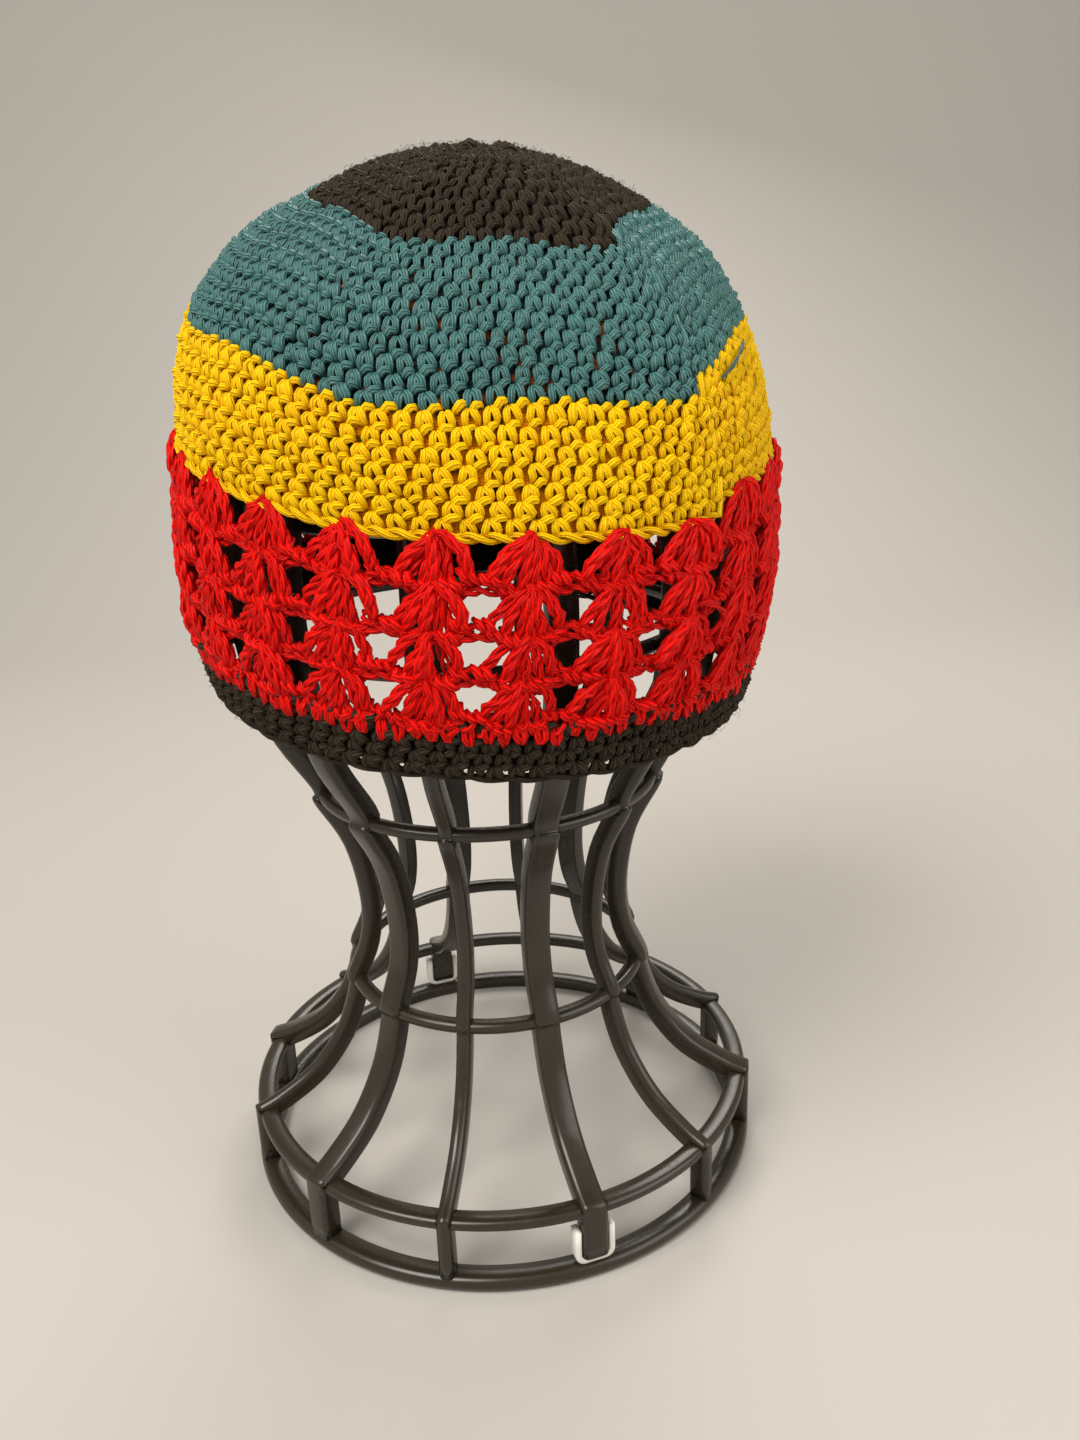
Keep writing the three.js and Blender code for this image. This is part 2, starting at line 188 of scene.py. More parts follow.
def hat_points(place, turn):
    """Points of the hat's outer surface, in millimetres round the stand's axis."""
    place, turn = np.broadcast_arrays(np.asarray(place, float), np.asarray(turn, float))
    bulge = np.cos(np.radians(HAT_CORNERS * (turn - blend_keys(TURN_KEYS, place))))
    place = np.clip(place + blend_keys(WAVE_KEYS, place) * bulge, 0, LAST_PLACE)
    corner = blend_keys(CORNER_KEYS, place) * bulge
    out = blend_keys(OUT_KEYS, place, before=-OUT_KEYS[1])
    flat = around(out * HAT_RADIUS * (1 + corner), turn, 0)
    tilt = np.radians(blend_keys(TILT_KEYS, place))
    side = math.radians(HAT_SIDE_TILT)
    y = flat[..., 1] * np.cos(tilt)
    z = flat[..., 1] * np.sin(tilt)
    x = flat[..., 0] * math.cos(side) + z * math.sin(side)
    z = z * math.cos(side) - flat[..., 0] * math.sin(side)
    x = x + blend_keys(SHIFT_KEYS, place)
    return np.stack([x, y, z + HAT_TOP - blend_keys(DOWN_KEYS, place) * HAT_DEPTH], -1)


def unit(vectors):
    """The same directions at length 1."""
    return vectors / np.maximum(np.linalg.norm(vectors, axis=-1, keepdims=True), 1e-9)


def hat_frame(place, turn, height):
    """Points at a height off the hat's surface, and the surface's outward direction there."""
    place, turn = np.broadcast_arrays(np.asarray(place, float), np.asarray(turn, float))
    off_peak = np.maximum(place, 0.08)
    step = 0.02
    along = hat_points(off_peak + step, turn) - hat_points(off_peak - step, turn)
    across = hat_points(off_peak, turn + 1) - hat_points(off_peak, turn - 1)
    outward = unit(np.cross(along, across))
    return hat_points(place, turn) + outward * np.asarray(height)[..., None], outward


def spiral(turn):
    """How far the rounds have sunk at a turn, in rows: they run on as one spiral from the seam."""
    return np.mod(np.asarray(turn, float) - SEAM_TURN, 360) / 360 - 0.5


class Band:
    """A stretch of the hat between two levels, with its rows spaced evenly down it."""

    def __init__(self, start, end, rows, sink=(0, 0)):
        self.rows = rows
        self.sink = sink
        places = np.linspace(level_place(start), level_place(end), 80)
        turns = np.arange(0, 360, 15)
        points = hat_points(places[:, None], turns[None, :])
        lengths = np.linalg.norm(np.diff(points, axis=0), axis=-1).mean(1)
        self.places = places
        self.travel = np.concatenate([[0], np.cumsum(lengths)])

    def place(self, row):
        """Place along the profile of a row, which may run a little past either end."""
        share = np.asarray(row, float) / self.rows * self.travel[-1]
        inside = np.interp(share, self.travel, self.places)
        rate = (self.places[-1] - self.places[-2]) / (self.travel[-1] - self.travel[-2])
        beyond = np.maximum(share - self.travel[-1], 0) * rate
        first = (self.places[1] - self.places[0]) / (self.travel[1] - self.travel[0])
        before = np.minimum(share, 0) * first
        return np.clip(inside + beyond + before, 0, LAST_PLACE)

    def row_height(self):
        """Distance between two rows down the hat, in millimetres."""
        return self.travel[-1] / self.rows

    def spiral_place(self, row, turn):
        """Place of a row that follows the spiral; sink holds its share at the band's two ends."""
        row, turn = np.broadcast_arrays(np.asarray(row, float), np.asarray(turn, float))
        share = np.clip(row / self.rows, 0, 1)
        return self.place(row + spiral(turn) * (self.sink[0] + (self.sink[1] - self.sink[0]) * share))


class Skein:
    """Gathers tubes and sheets of one piece, then makes one mesh object of them."""

    def __init__(self):
        self.points = []
        self.corners = []
        self.sizes = []
        self.threads = []
        self.painted_shades = []
        self.count = 0

    def add(self, points, faces, thread, depth):
        """Faces are rows of equal length; thread holds two numbers for each of their corners."""
        self.points.append(points.reshape(-1, 3))
        self.corners.append((faces + self.count).reshape(-1))
        self.sizes.append(np.full(len(faces), faces.shape[1]))
        self.threads.append(thread.reshape(-1, 2))
        # depth is the painted shade of every point; the yarn looks paint low values darker
        self.painted_shades.append(depth.reshape(-1))
        self.count += points.reshape(-1, 3).shape[0]

    def tubes(self, route, outward, radius, sides, flat=1.0, closed=False, depth=None):
        """Tubes along many routes at once: route and outward are strands x points x 3."""
        strands, steps, _ = route.shape
        if closed:
            before, after = np.roll(route, 1, 1), np.roll(route, -1, 1)
            heading = unit(after - before)
        else:
            heading = unit(np.gradient(route, axis=1))
        aside = unit(np.cross(heading, outward))
        upward = np.cross(aside, heading)
        angle = 2 * np.pi * np.arange(sides) / sides
        ring = (
            upward[:, :, None] * (np.cos(angle) * flat)[None, None, :, None]
            + aside[:, :, None] * np.sin(angle)[None, None, :, None]
        )
        radius = np.broadcast_to(radius, (strands, steps))
        points = route[:, :, None] + ring * radius[:, :, None, None]
        length = np.linalg.norm(np.diff(route, axis=1), axis=-1)
        travel = np.concatenate([np.zeros((strands, 1)), np.cumsum(length, 1)], 1)
        strand = np.arange(strands)[:, None, None] * steps * sides
        spans = steps if closed else steps - 1
        step = np.arange(spans)[None, :, None]
        side = np.arange(sides)[None, None, :]
        here, there = step * sides, (step + 1) % steps * sides
        turn = (side + 1) % sides
        faces = np.stack(
            [strand + here + side, strand + here + turn, strand + there + turn, strand + there + side], -1
        )
        if closed:
            tail = np.linalg.norm(route[:, 0] - route[:, -1], axis=-1)[:, None]
            travel = np.concatenate([travel, travel[:, -1:] + tail], 1)
        u0 = np.broadcast_to(travel[:, :spans, None], (strands, spans, sides))
        u1 = np.broadcast_to(travel[:, 1:spans + 1, None], (strands, spans, sides))
        v0 = np.broadcast_to(side / sides, (strands, spans, sides))
        v1 = v0 + 1 / sides
        thread = np.stack([u0, v0, u0, v1, u1, v1, u1, v0], -1)
        # depth is the painted shade along each strand, 1 where nothing is darkened
        if depth is None:
            depth = np.ones((strands, steps))
        shade = np.broadcast_to(np.broadcast_to(depth, (strands, steps))[:, :, None], points.shape[:3])
        self.add(points, faces.reshape(-1, 4), thread, shade)
        if not closed:
            self.ends(strands, steps, sides)

    def ends(self, strands, steps, sides):
        """Closes both ends of the tubes added last."""
        base = self.count - strands * steps * sides
        start = base + np.arange(strands)[:, None] * steps * sides
        first = start + np.arange(sides)[::-1][None, :]
        last = start + (steps - 1) * sides + np.arange(sides)[None, :]
        for caps in (first, last):
            self.corners.append(caps.reshape(-1))
            self.sizes.append(np.full(strands, sides))
            self.threads.append(np.zeros((strands * sides, 2)))

    def close(self, size, first, last):
        """Closes a loft with its first and last loop of points, each of one size."""
        for caps in (first, last):
            self.corners.append(caps)
            self.sizes.append(np.array([size]))
            self.threads.append(np.zeros((size, 2)))

    def sheet(self, grid, shade=1.0, flip=False):
        """A sheet over rows x columns of points, closed round its columns."""
        rows, columns, _ = grid.shape
        row = np.arange(rows - 1)[:, None] * columns
        column = np.arange(columns)[None, :]
        after = (column + 1) % columns
        order = [row + column, row + columns + column, row + columns + after, row + after]
        faces = np.stack(order[::-1] if flip else order, -1).reshape(-1, 4)
        across = np.broadcast_to(column, (rows - 1, columns)) * 2.0
        down = np.broadcast_to(np.arange(rows - 1)[:, None], (rows - 1, columns)) * 0.5
        order = [across, down, across, down + 0.5, across + 2, down + 0.5, across + 2, down]
        self.add(grid, faces, np.stack(order, -1), np.full(grid.shape[:2], shade))

    def make(self, name, material):
        """The mesh object, in metres, in the frame of the CAD."""
        points = np.concatenate(self.points) * MM
        points[:, 0] += AXIS.x
        points[:, 1] += AXIS.y
        corners = np.concatenate(self.corners)
        sizes = np.concatenate(self.sizes)
        mesh = bpy.data.meshes.new(name)
        mesh.vertices.add(len(points))
        mesh.vertices.foreach_set("co", points.ravel())
        mesh.loops.add(len(corners))
        mesh.loops.foreach_set("vertex_index", corners.astype(np.int32))
        mesh.polygons.add(len(sizes))
        starts = np.concatenate([[0], np.cumsum(sizes)[:-1]])
        mesh.polygons.foreach_set("loop_start", starts.astype(np.int32))
        mesh.polygons.foreach_set("use_smooth", np.ones(len(sizes), bool))
        threads = mesh.uv_layers.new(name="thread")
        threads.data.foreach_set("uv", np.concatenate(self.threads).astype(np.float32).ravel())
        # The shade attribute carries the painted shade that the yarn looks darken by
        shade = mesh.attributes.new("shade", "FLOAT", "POINT")
        shade.data.foreach_set("value", np.concatenate(self.painted_shades).astype(np.float32))
        mesh.update(calc_edges=True)
        mesh.validate()
        mesh.materials.append(material)
        piece = bpy.data.objects.new(name, mesh)
        bpy.context.scene.collection.objects.link(piece)
        return piece


def smooth_route(points, steps):
    """A smooth curve through chosen points, resampled; the last axis holds the coordinates."""
    points = np.asarray(points, float)
    place = np.linspace(0, len(points) - 1, steps)
    cell = np.clip(np.floor(place).astype(int), 0, len(points) - 2)
    t = (place - cell)[:, None]
    padded = np.concatenate([2 * points[:1] - points[1:2], points, 2 * points[-1:] - points[-2:-1]])
    a, b, c, d = (padded[cell + step] for step in range(4))
    return 0.5 * (2 * b + (c - a) * t + (2 * a - 5 * b + 4 * c - d) * t**2 + (3 * b - a - 3 * c + d) * t**3)


# One strand of a stitch: across in stitches, down in rows, height and radius in shares of the yarn
LEFT_LEG = (
    (-0.042, 0, 0.9, 0.69),
    (-0.12, 0.14, 1.8, 1.02),
    (-0.185, 0.38, 2.15, 1.15),
    (-0.195, 0.64, 1.85, 1.09),
    (-0.16, 0.87, 1, 0.8),
    (-0.11, 1.04, 0, 0.5),
)
RIGHT_LEG = (
    (0.03, -0.02, 0.9, 0.69),
    (0.105, 0.1, 1.9, 1.06),
    (0.205, 0.3, 2.25, 1.21),
    (0.29, 0.54, 1.85, 1.11),
    (0.34, 0.76, 1, 0.82),
    (0.355, 0.93, 0, 0.5),
)
BAR = (
    (-0.84, 0.22, 0.2, 0.7),
    (-0.7, 0.05, 1.9, 1.02),
    (-0.52, -0.1, 2.6, 1.16),
    (-0.34, -0.16, 2.2, 1.02),
    (-0.2, -0.12, 0.7, 0.7),
)
BACK = (
    (-0.6, 0.62, -1, 0.75),
    (-0.22, 0.46, -1.5, 0.9),
    (0.22, 0.46, -1.5, 0.9),
    (0.6, 0.62, -1, 0.75),
)
# A short stitch that hangs from the lace over the hem: across in stubs, down in rows of the lace
STUB = (
    (-0.1, -0.16, 0.2, 0.7),
    (-0.2, -0.02, 1.5, 0.95),
    (-0.2, 0.16, 1.9, 1),
    (-0.1, 0.31, 1.7, 1),
    (0.1, 0.31, 1.7, 1),
    (0.2, 0.16, 1.9, 1),
    (0.2, -0.02, 1.5, 0.95),
    (0.1, -0.16, 0.2, 0.7),
)
STUB_WRAP = (
    (-0.32, 0.2, 0.4, 0.6),
    (-0.2, 0.14, 2.1, 0.85),
    (0, 0.06, 2.7, 0.9),
    (0.2, -0.02, 2.1, 0.85),
    (0.32, -0.08, 0.4, 0.6),
)
SINK = -1.35


def lay_strands(skein, band, template, rows, turns, pitches, yarn, sides, seed, wild=1.0, lift=0.0):
    """Lays one strand of every stitch on the hat: rows, turns and pitches hold one number per stitch."""
    shape = np.array(template)
    draws = np.random.default_rng(seed)
    count = len(rows)
    nudge = draws.normal(0, 0.04 * wild, (count, 1))
    drop = draws.normal(0, 0.04 * wild, (count, 1))
    swell = 1 + draws.normal(0, 0.07 * wild, (count, 1))
    shake = draws.normal(0, 0.02 * wild, (2, count, len(shape)))
    lean = draws.normal(-0.05, 0.08 * wild, (count, 1)) * (0.5 - shape[:, 1])
    across = shape[:, 0] * (1 + draws.normal(0, 0.09 * wild, (count, 1))) + nudge + lean + shake[0]
    down = shape[:, 1] + drop + shake[1]
    turn = turns[:, None] + across * pitches[:, None]
    place = band.spiral_place(rows[:, None] + down, turn)
    scale = np.broadcast_to(yarn, (count,))[:, None]
    height = (shape[:, 2] * swell + SINK + lift) * scale
    route, outward = hat_frame(place, turn, height)
    # Painted shade: the lower a part of a strand lies in the fabric, the darker it is painted
    depth = np.clip(0.35 + 0.42 * shape[:, 2] * swell, 0.27, 1)
    radius = shape[:, 3] * swell * scale
    skein.tubes(route, outward, radius, sides, flat=0.92, depth=depth)


def stitch_grid(first_row, last_row, counts, seed):
    """Row, turn and pitch of every stitch, with each row slanting on from the one above."""
    rows, turns, pitches = [], [], []
    phase = 0.0
    draws = np.random.default_rng(seed)
    for row, count in zip(range(first_row, last_row), counts):
        pitch = 360 / count
        phase += ROW_SLANT * pitch
        rows.append(np.full(count, float(row)) + draws.normal(0, 0.02, count))
        turns.append(phase + np.arange(count) * pitch)
        pitches.append(np.full(count, pitch))
    return np.concatenate(rows), np.concatenate(turns), np.concatenate(pitches)


def knit_rows(skein, band, rows, turns, pitches, yarn, seed):
    """The two legs and the slanting bar of every single crochet, with plain bars inside."""
    lay_strands(skein, band, LEFT_LEG, rows, turns, pitches, yarn, sides=6, seed=seed)
    lay_strands(skein, band, RIGHT_LEG, rows, turns, pitches, yarn, sides=6, seed=seed)
    lay_strands(skein, band, BAR, rows, turns, pitches, yarn, sides=6, seed=seed + 1)
    lay_strands(skein, band, BACK, rows, turns, pitches, yarn, sides=4, seed=seed + 2)


def lining(skein, band, last_row, columns, yarn):
    """The closed mass of yarn behind the stitches: an outer and an inner skin joined at the ends, painted in
    the dark hole shade.
    """
    rows = np.linspace(0, last_row, 2 * int(last_row) + 1)
    turns = np.arange(columns) * 360 / columns
    place = band.spiral_place(rows[:, None], turns[None])
    outer, _ = hat_frame(place, turns[None], np.full((1, 1), LINING_OUTER * yarn))
    inner, _ = hat_frame(place, turns[None], np.full((1, 1), LINING_INNER * yarn))
    skein.sheet(outer, LINING_SHADE)
    skein.sheet(inner, LINING_SHADE, flip=True)
    skein.sheet(np.stack([inner[0], outer[0]]), LINING_SHADE)
    skein.sheet(np.stack([outer[-1], inner[-1]]), LINING_SHADE)


def rope_round(skein, band, row, stitches, yarn, spread, lift, seed):
    """Two strands twisted into a rope round the hat at one row."""
    steps = stitches * 6
    phase = 0.4
    turn = np.arange(steps) * 360 / steps
    draws = np.random.default_rng(seed)
    wobble = np.interp(np.arange(steps), np.arange(0, steps + 6, 6), draws.normal(0, 0.16, stitches + 1))
    wave = 2 * np.pi * stitches * turn / 360 / 2
    rise = band.row_height()
    for strand in range(2):
        angle = wave + strand * np.pi + phase
        height = lift + spread * np.cos(angle) + wobble
        down = row + (spread * np.sin(angle) + wobble) / rise
        route, outward = hat_frame(band.spiral_place(down, turn), turn, height)
        radius = yarn * (1 + 0.1 * np.cos(2 * angle))
        # Painted shade: each strand is painted darker where it passes under the other
        depth = np.clip(0.75 + 0.25 * np.cos(angle), 0, 1)
        skein.tubes(route[None], outward[None], radius[None], sides=6, closed=True, depth=depth[None])


def loose_strand(skein, points, radius):
    """A free piece of yarn through points of place along the profile, turn and height off the hat."""
    points = smooth_route(points, 10 * (len(points) - 1))
    route, outward = hat_frame(points[:, 0], points[:, 1], points[:, 2])
    heading = unit(np.gradient(route, axis=0))
    aside = unit(np.cross(heading, outward))
    upward = np.cross(aside, heading)
    angle = np.linspace(0, 0.9 * np.pi * len(points) / 10, len(points))[:, None]
    for strand in range(2):
        turn = angle + strand * np.pi
        coil = route + (aside * np.cos(turn) + upward * np.sin(turn)) * 0.75 * radius
        skein.tubes(coil[None], outward[None], radius, sides=6)


def fuzz(skein, start, end, count, seed):
    """Fine stray fibres that stand off the yarn between two places of the profile."""
    draws = np.random.default_rng(seed)
    place = draws.uniform(start, end, count)[:, None]
    turn = draws.uniform(0, 360, count)[:, None]
    steps = np.linspace(0, 1, 5)[None]
    drift = draws.normal(0, 1, (3, count, 1))
    curl = draws.normal(0, 1, (2, count, 1)) * np.sin(np.pi * steps)
    height = 0.3 + (2.2 + 0.5 * drift[2]) * np.sin(0.7 * np.pi * steps)
    route, outward = hat_frame(
        place + 0.05 * drift[0] * steps + 0.03 * curl[0],
        turn + 1.6 * (drift[1] * steps + 0.5 * curl[1]), height)
    skein.tubes(route, outward, radius=0.05, sides=3)


class Socket:
    """A number on a material's socket, on which plain arithmetic adds Math nodes."""

    def __init__(self, look, output):
        self.look = look
        self.output = output

    def math(self, operation, *values):
        """Adds one Math node."""
        return self.look.number("ShaderNodeMath", {"operation": operation}, dict(enumerate(values)))

    def __add__(self, other):
        return self.math("ADD", self, other)

    def __radd__(self, other):
        return self.math("ADD", other, self)

    def __sub__(self, other):
        return self.math("SUBTRACT", self, other)

    def __rsub__(self, other):
        return self.math("SUBTRACT", other, self)

    def __mul__(self, other):
        return self.math("MULTIPLY", self, other)

    def __rmul__(self, other):
        return self.math("MULTIPLY", other, self)

    def sine(self):
        return self.math("SINE", self)

    def clamp(self):
        return self.look.number("ShaderNodeClamp", {}, {"Value": self})


class Look:
    """A material with one surface shader, built from expressions."""

    def __init__(self, name, **constants):
        self.material = bpy.data.materials.new(name)
        self.material.use_nodes = True
        self.tree = self.material.node_tree
        self.surface = self.tree.nodes["Principled BSDF"]
        for socket, value in constants.items():
            self.surface.inputs[socket.replace("_", " ")].default_value = value

    def node(self, kind, settings, inputs):
        """Adds a node: its settings first, then the values or links of its sockets."""
        node = self.tree.nodes.new(kind)
        for name, value in settings.items():
            setattr(node, name, value)
        for name, value in inputs.items():
            self.feed(node.inputs[name], value)
        return node

    def feed(self, socket, value):
        """Links an output to a socket, or sets the socket's own value."""
        if isinstance(value, Socket):
            self.tree.links.new(value.output, socket)
        elif isinstance(value, bpy.types.NodeSocket):
            self.tree.links.new(value, socket)
        else:
            socket.default_value = value

    def number(self, kind, settings, inputs, output=0):
        """Adds a node and wraps one of its outputs."""
        return Socket(self, self.node(kind, settings, inputs).outputs[output])

    def noise(self, vector, scale, detail=3.0, roughness=0.55):
        """Noise from 0 to 1, with its scale in cells a metre on object coordinates."""
        sockets = {"Vector": vector, "Scale": scale, "Detail": detail, "Roughness": roughness}
        return self.number("ShaderNodeTexNoise", {}, sockets)

    def mix(self, factor, first, second):
        """Mixes two colours."""
        node = self.node("ShaderNodeMix", {"data_type": "RGBA"}, {})
        self.feed(node.inputs[0], factor)
        self.feed(node.inputs[6], first)
        self.feed(node.inputs[7], second)
        return node.outputs[2]

    def set(self, socket, value):
        """Feeds a socket of the surface shader."""
        self.feed(self.surface.inputs[socket], value)

    def bump(self, height, strength, distance):
        """Raises and lowers the surface by a height, at a distance in metres."""
        sockets = {"Height": height, "Strength": strength, "Distance": distance}
        node = self.node("ShaderNodeBump", {}, sockets)
        self.tree.links.new(node.outputs["Normal"], self.surface.inputs["Normal"])


def colour4(colour, gain=1.0):
    """The four numbers of a colour, brightened or dimmed."""
    return tuple(min(1.0, channel * gain) for channel in colour[:3]) + (1.0,)


# Yarns: deep is painted shade, the darker colour of the grooves between plies, of low strands and of the
# holes; inside is what shows in some of the holes: painted shade of the hat's dark inside, and for the green
# yarn the orange yarn carried inside
BLACK_YARN = dict(
    deep=(0.006, 0.004, 0.002), inside=(0.003, 0.002, 0.001),
    plies=6, twist=0.08, shine=0.2, roughness=0.7)
GREEN_YARN = dict(
    deep=(0.008, 0.036, 0.038), inside=(0.45, 0.09, 0.002),
    plies=7, twist=0.06, shine=0.45, roughness=0.4)
YELLOW_YARN = dict(
    deep=(0.95, 0.34, 0.0), inside=(0.09, 0.06, 0.004),
    plies=7, twist=0.06, shine=0.14, roughness=0.5)
RED_YARN = dict(
    deep=(0.34, 0.0, 0.0), inside=(0.1, 0.0, 0.0),
    plies=4, twist=0.16, shine=0.16, roughness=0.45)


def yarn_look(name, colour, deep, inside, plies, twist, shine, roughness):
    """Cotton yarn: plies with grooves in painted shade, fine fibres, slow lighter patches at random, low
    strands in painted shade and holes in dark painted shade.
    """
    look = Look(name, Specular_IOR_Level=shine)
    thread = look.node("ShaderNodeUVMap", {"uv_map": "thread"}, {}).outputs["UV"]
    split = look.node("ShaderNodeSeparateXYZ", {}, {"Vector": thread})
    along = Socket(look, split.outputs["X"])
    round_it = Socket(look, split.outputs["Y"])
    object_place = look.node("ShaderNodeTexCoord", {}, {}).outputs["Object"]
    ridge = ((round_it * plies + along * twist) * (2 * math.pi)).sine() * 0.5 + 0.5
    fibre_place = look.node("ShaderNodeCombineXYZ", {}, {"X": along * 0.5, "Y": round_it * 14}).outputs[0]
    fibre = look.noise(fibre_place, scale=3.0, detail=4.0)
    shade = look.number("ShaderNodeAttribute", {"attribute_name": "shade"}, {}, output=2)
    # Painted shade: the ply grooves and points with a low shade value, low in the fabric, are painted towards
    # the darker deep colour
    lit = (ridge * 0.8 + fibre * 0.36) * (shade * 0.75 + 0.25)
    body = look.mix(lit.clamp(), colour4(deep), colour4(colour))
    patches = (look.noise(object_place, scale=60.0) * 1.6 - 0.55).clamp() * 0.3
    patched = look.mix(patches, body, colour4(colour, 1.3))
    # Painted hole shade: the deep colour, with random flecks of the inside colour
    flecks = (look.noise(object_place, scale=190.0, detail=1.0) * 9 - 4.9).clamp()
    hole_shade_and_inside_flecks = look.mix(flecks, colour4(deep), colour4(inside))
    # Points with a low shade value, such as the lining, take the painted hole shade
    out_of_hole_shade = (shade * 4.5 - 0.6).clamp()
    look.set("Base Color", look.mix(out_of_hole_shade, hole_shade_and_inside_flecks, patched))
    look.set("Roughness", (roughness + fibre * 0.2 - 0.08).clamp())
    look.bump(ridge + fibre * 0.5, strength=1.0, distance=0.4 * MM)
    return look.material


DUST = (0.09, 0.075, 0.058)


def plastic_look(name, colour, roughness):
    """Moulded plastic with slight flow waves, dust and rubbed spots."""
    look = Look(name, Specular_IOR_Level=0.5, Coat_Roughness=0.2)
    object_place = look.node("ShaderNodeTexCoord", {}, {}).outputs["Object"]
    wave = look.noise(object_place, scale=28.0, detail=2.0)
    grain = look.noise(object_place, scale=900.0)
    dust = look.noise(object_place, scale=140.0, detail=5.0, roughness=0.7)
    worn = (dust * 3.2 - 1.75).clamp()
    look.set("Base Color", look.mix(worn * 0.15, colour4(colour), colour4(DUST)))
    look.set("Roughness", (roughness + wave * 0.16 + worn * 0.2 - 0.08).clamp())
    look.bump(wave * 0.8 + grain * 0.02, strength=0.25, distance=0.5 * MM)
    return look.material


def floor_look(name, colour):
    """A pale matt table top."""
    look = Look(name, Specular_IOR_Level=0.3)
    object_place = look.node("ShaderNodeTexCoord", {}, {}).outputs["Object"]
    cloud = look.noise(object_place, scale=3.0, detail=4.0)
    look.set("Base Color", look.mix(cloud * 0.25, colour4(colour), colour4(colour, 0.93)))
    look.set("Roughness", 0.55 + cloud * 0.1)
    return look.material


def keep_piece(piece, slot, *nodes):
    """Binds a piece to the root body and hides the CAD nodes it stands for; slot is not used."""
    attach(piece, "root")
    if nodes:
        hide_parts(*nodes)


# Stand
def lathe(skein, section):
    """A ring with a closed section of radius and height, given anticlockwise."""
    turns = np.arange(RING_STEPS) * 360 / RING_STEPS
    section = np.array(section)
    loop = np.concatenate([section, section[:1]])
    grid = np.stack([around(out, turns, up) for out, up in loop])
    skein.sheet(grid, flip=True)


def bead_section(outer, wide, low, high):
    """A ring's section: rounded bead outside, flat top and bottom, softened inner edges."""
    inner_round = 0.8
    middle, half = (low + high) / 2, (high - low) / 2
    angles = np.radians(np.linspace(-80, 80, 9))
    bead = [(outer - half + half * math.cos(a), middle + half * math.sin(a)) for a in angles]
    inner = outer - wide
    return [
        (inner + inner_round, low),
        *bead,
        (inner + inner_round, high),
        (inner, high - inner_round),
        (inner, low + inner_round),
    ]


def rib_route():
    """The outer face of a rib, radius and height, from the rail's bend to the cap."""
    def foot(out, up):
        return (FOOT_RADIUS + (WAIST_RADIUS - FOOT_RADIUS) * out, RAIL_LOW + (WAIST_LOW - RAIL_LOW) * up)

    def waist(share):
        return WAIST_LOW + (NECK_LOW - WAIST_LOW) * share

    def head(share):
        return NECK_LOW + (HAT_TOP - NECK_LOW) * share

    face = RAIL_RADIUS + RIB_PROUD
    return [
        (face, RAIL_HIGH + 0.8),
        foot(0.24, 0.19),
        foot(0.57, 0.375),
        foot(0.83, 0.67),
        (WAIST_RADIUS + RIB_PROUD, WAIST_LOW - CLEAR),
        (WAIST_RADIUS + RIB_PROUD, WAIST_HIGH + CLEAR),
        (0.92 * WAIST_RADIUS, waist(0.25)),
        (0.9 * WAIST_RADIUS, waist(0.47)),
        (0.88 * NECK_RADIUS, waist(0.76)),
        (NECK_RADIUS + RIB_PROUD, NECK_LOW - CLEAR),
        (NECK_RADIUS + RIB_PROUD, NECK_HIGH + CLEAR),
        (NECK_RADIUS + (CAGE_RADIUS - NECK_RADIUS) * 0.6, head(0.128)),
        (0.97 * CAGE_RADIUS, head(0.254)),
        (CAGE_RADIUS, head(0.395)),
        (0.95 * CAGE_RADIUS, head(0.552)),
        (0.8 * CAGE_RADIUS, head(0.699)),
        (0.54 * CAGE_RADIUS, head(0.819)),
        (CAP_RADIUS + CLEAR, (CAP_LOW + CAP_HIGH) / 2),
    ]


def rib_section(wide, deep, round_front, round_back):
    """A rib's section: across, and depth behind the face, with rounded front corners."""
    points = []
    corners = (
        (wide / 2 - round_front, round_front, round_front, 0, 90),
        (-wide / 2 + round_front, round_front, round_front, 90, 180),
        (-wide / 2 + round_back, deep - round_back, round_back, 180, 270),
        (wide / 2 - round_back, deep - round_back, round_back, 270, 360),
    )
    for across, back, radius, start, end in corners:
        for angle in np.radians(np.linspace(start, end, 4)):
            points.append((across + radius * math.cos(angle), back - radius * math.sin(angle)))
    return np.array(points)


def rib_mesh(skein, turn, wide, foot_height, narrow):
    """One rib: a post below the rail, a crisp bend, and the long sweep up to the cap."""
    sweep = smooth_route(rib_route(), RIB_STEPS)
    face = RAIL_RADIUS + RIB_PROUD
    post_top = sweep[0][1]
    post = [(face, up) for up in np.linspace(foot_height, post_top - 0.6, 6)]
    route = np.concatenate([post, sweep])
    ahead = unit(np.gradient(route, axis=0))
    inward = np.stack([-ahead[:, 1], ahead[:, 0]], -1)
    section = rib_section(wide, RIB_DEEP, 2.1 if narrow else 1.8, 0.7)
    side = around(1, turn + 90, 0)
    loops = []
    for (out, up), (back_out, back_up) in zip(route, inward):
        loop = []
        for across, back in section:
            loop.append(around(out + back_out * back, turn, up + back_up * back) + side * across)
        loops.append(loop)
    skein.sheet(np.array(loops))
    size = len(section)
    base = skein.count - len(route) * size
    skein.close(size, base + np.arange(size), skein.count - 1 - np.arange(size))


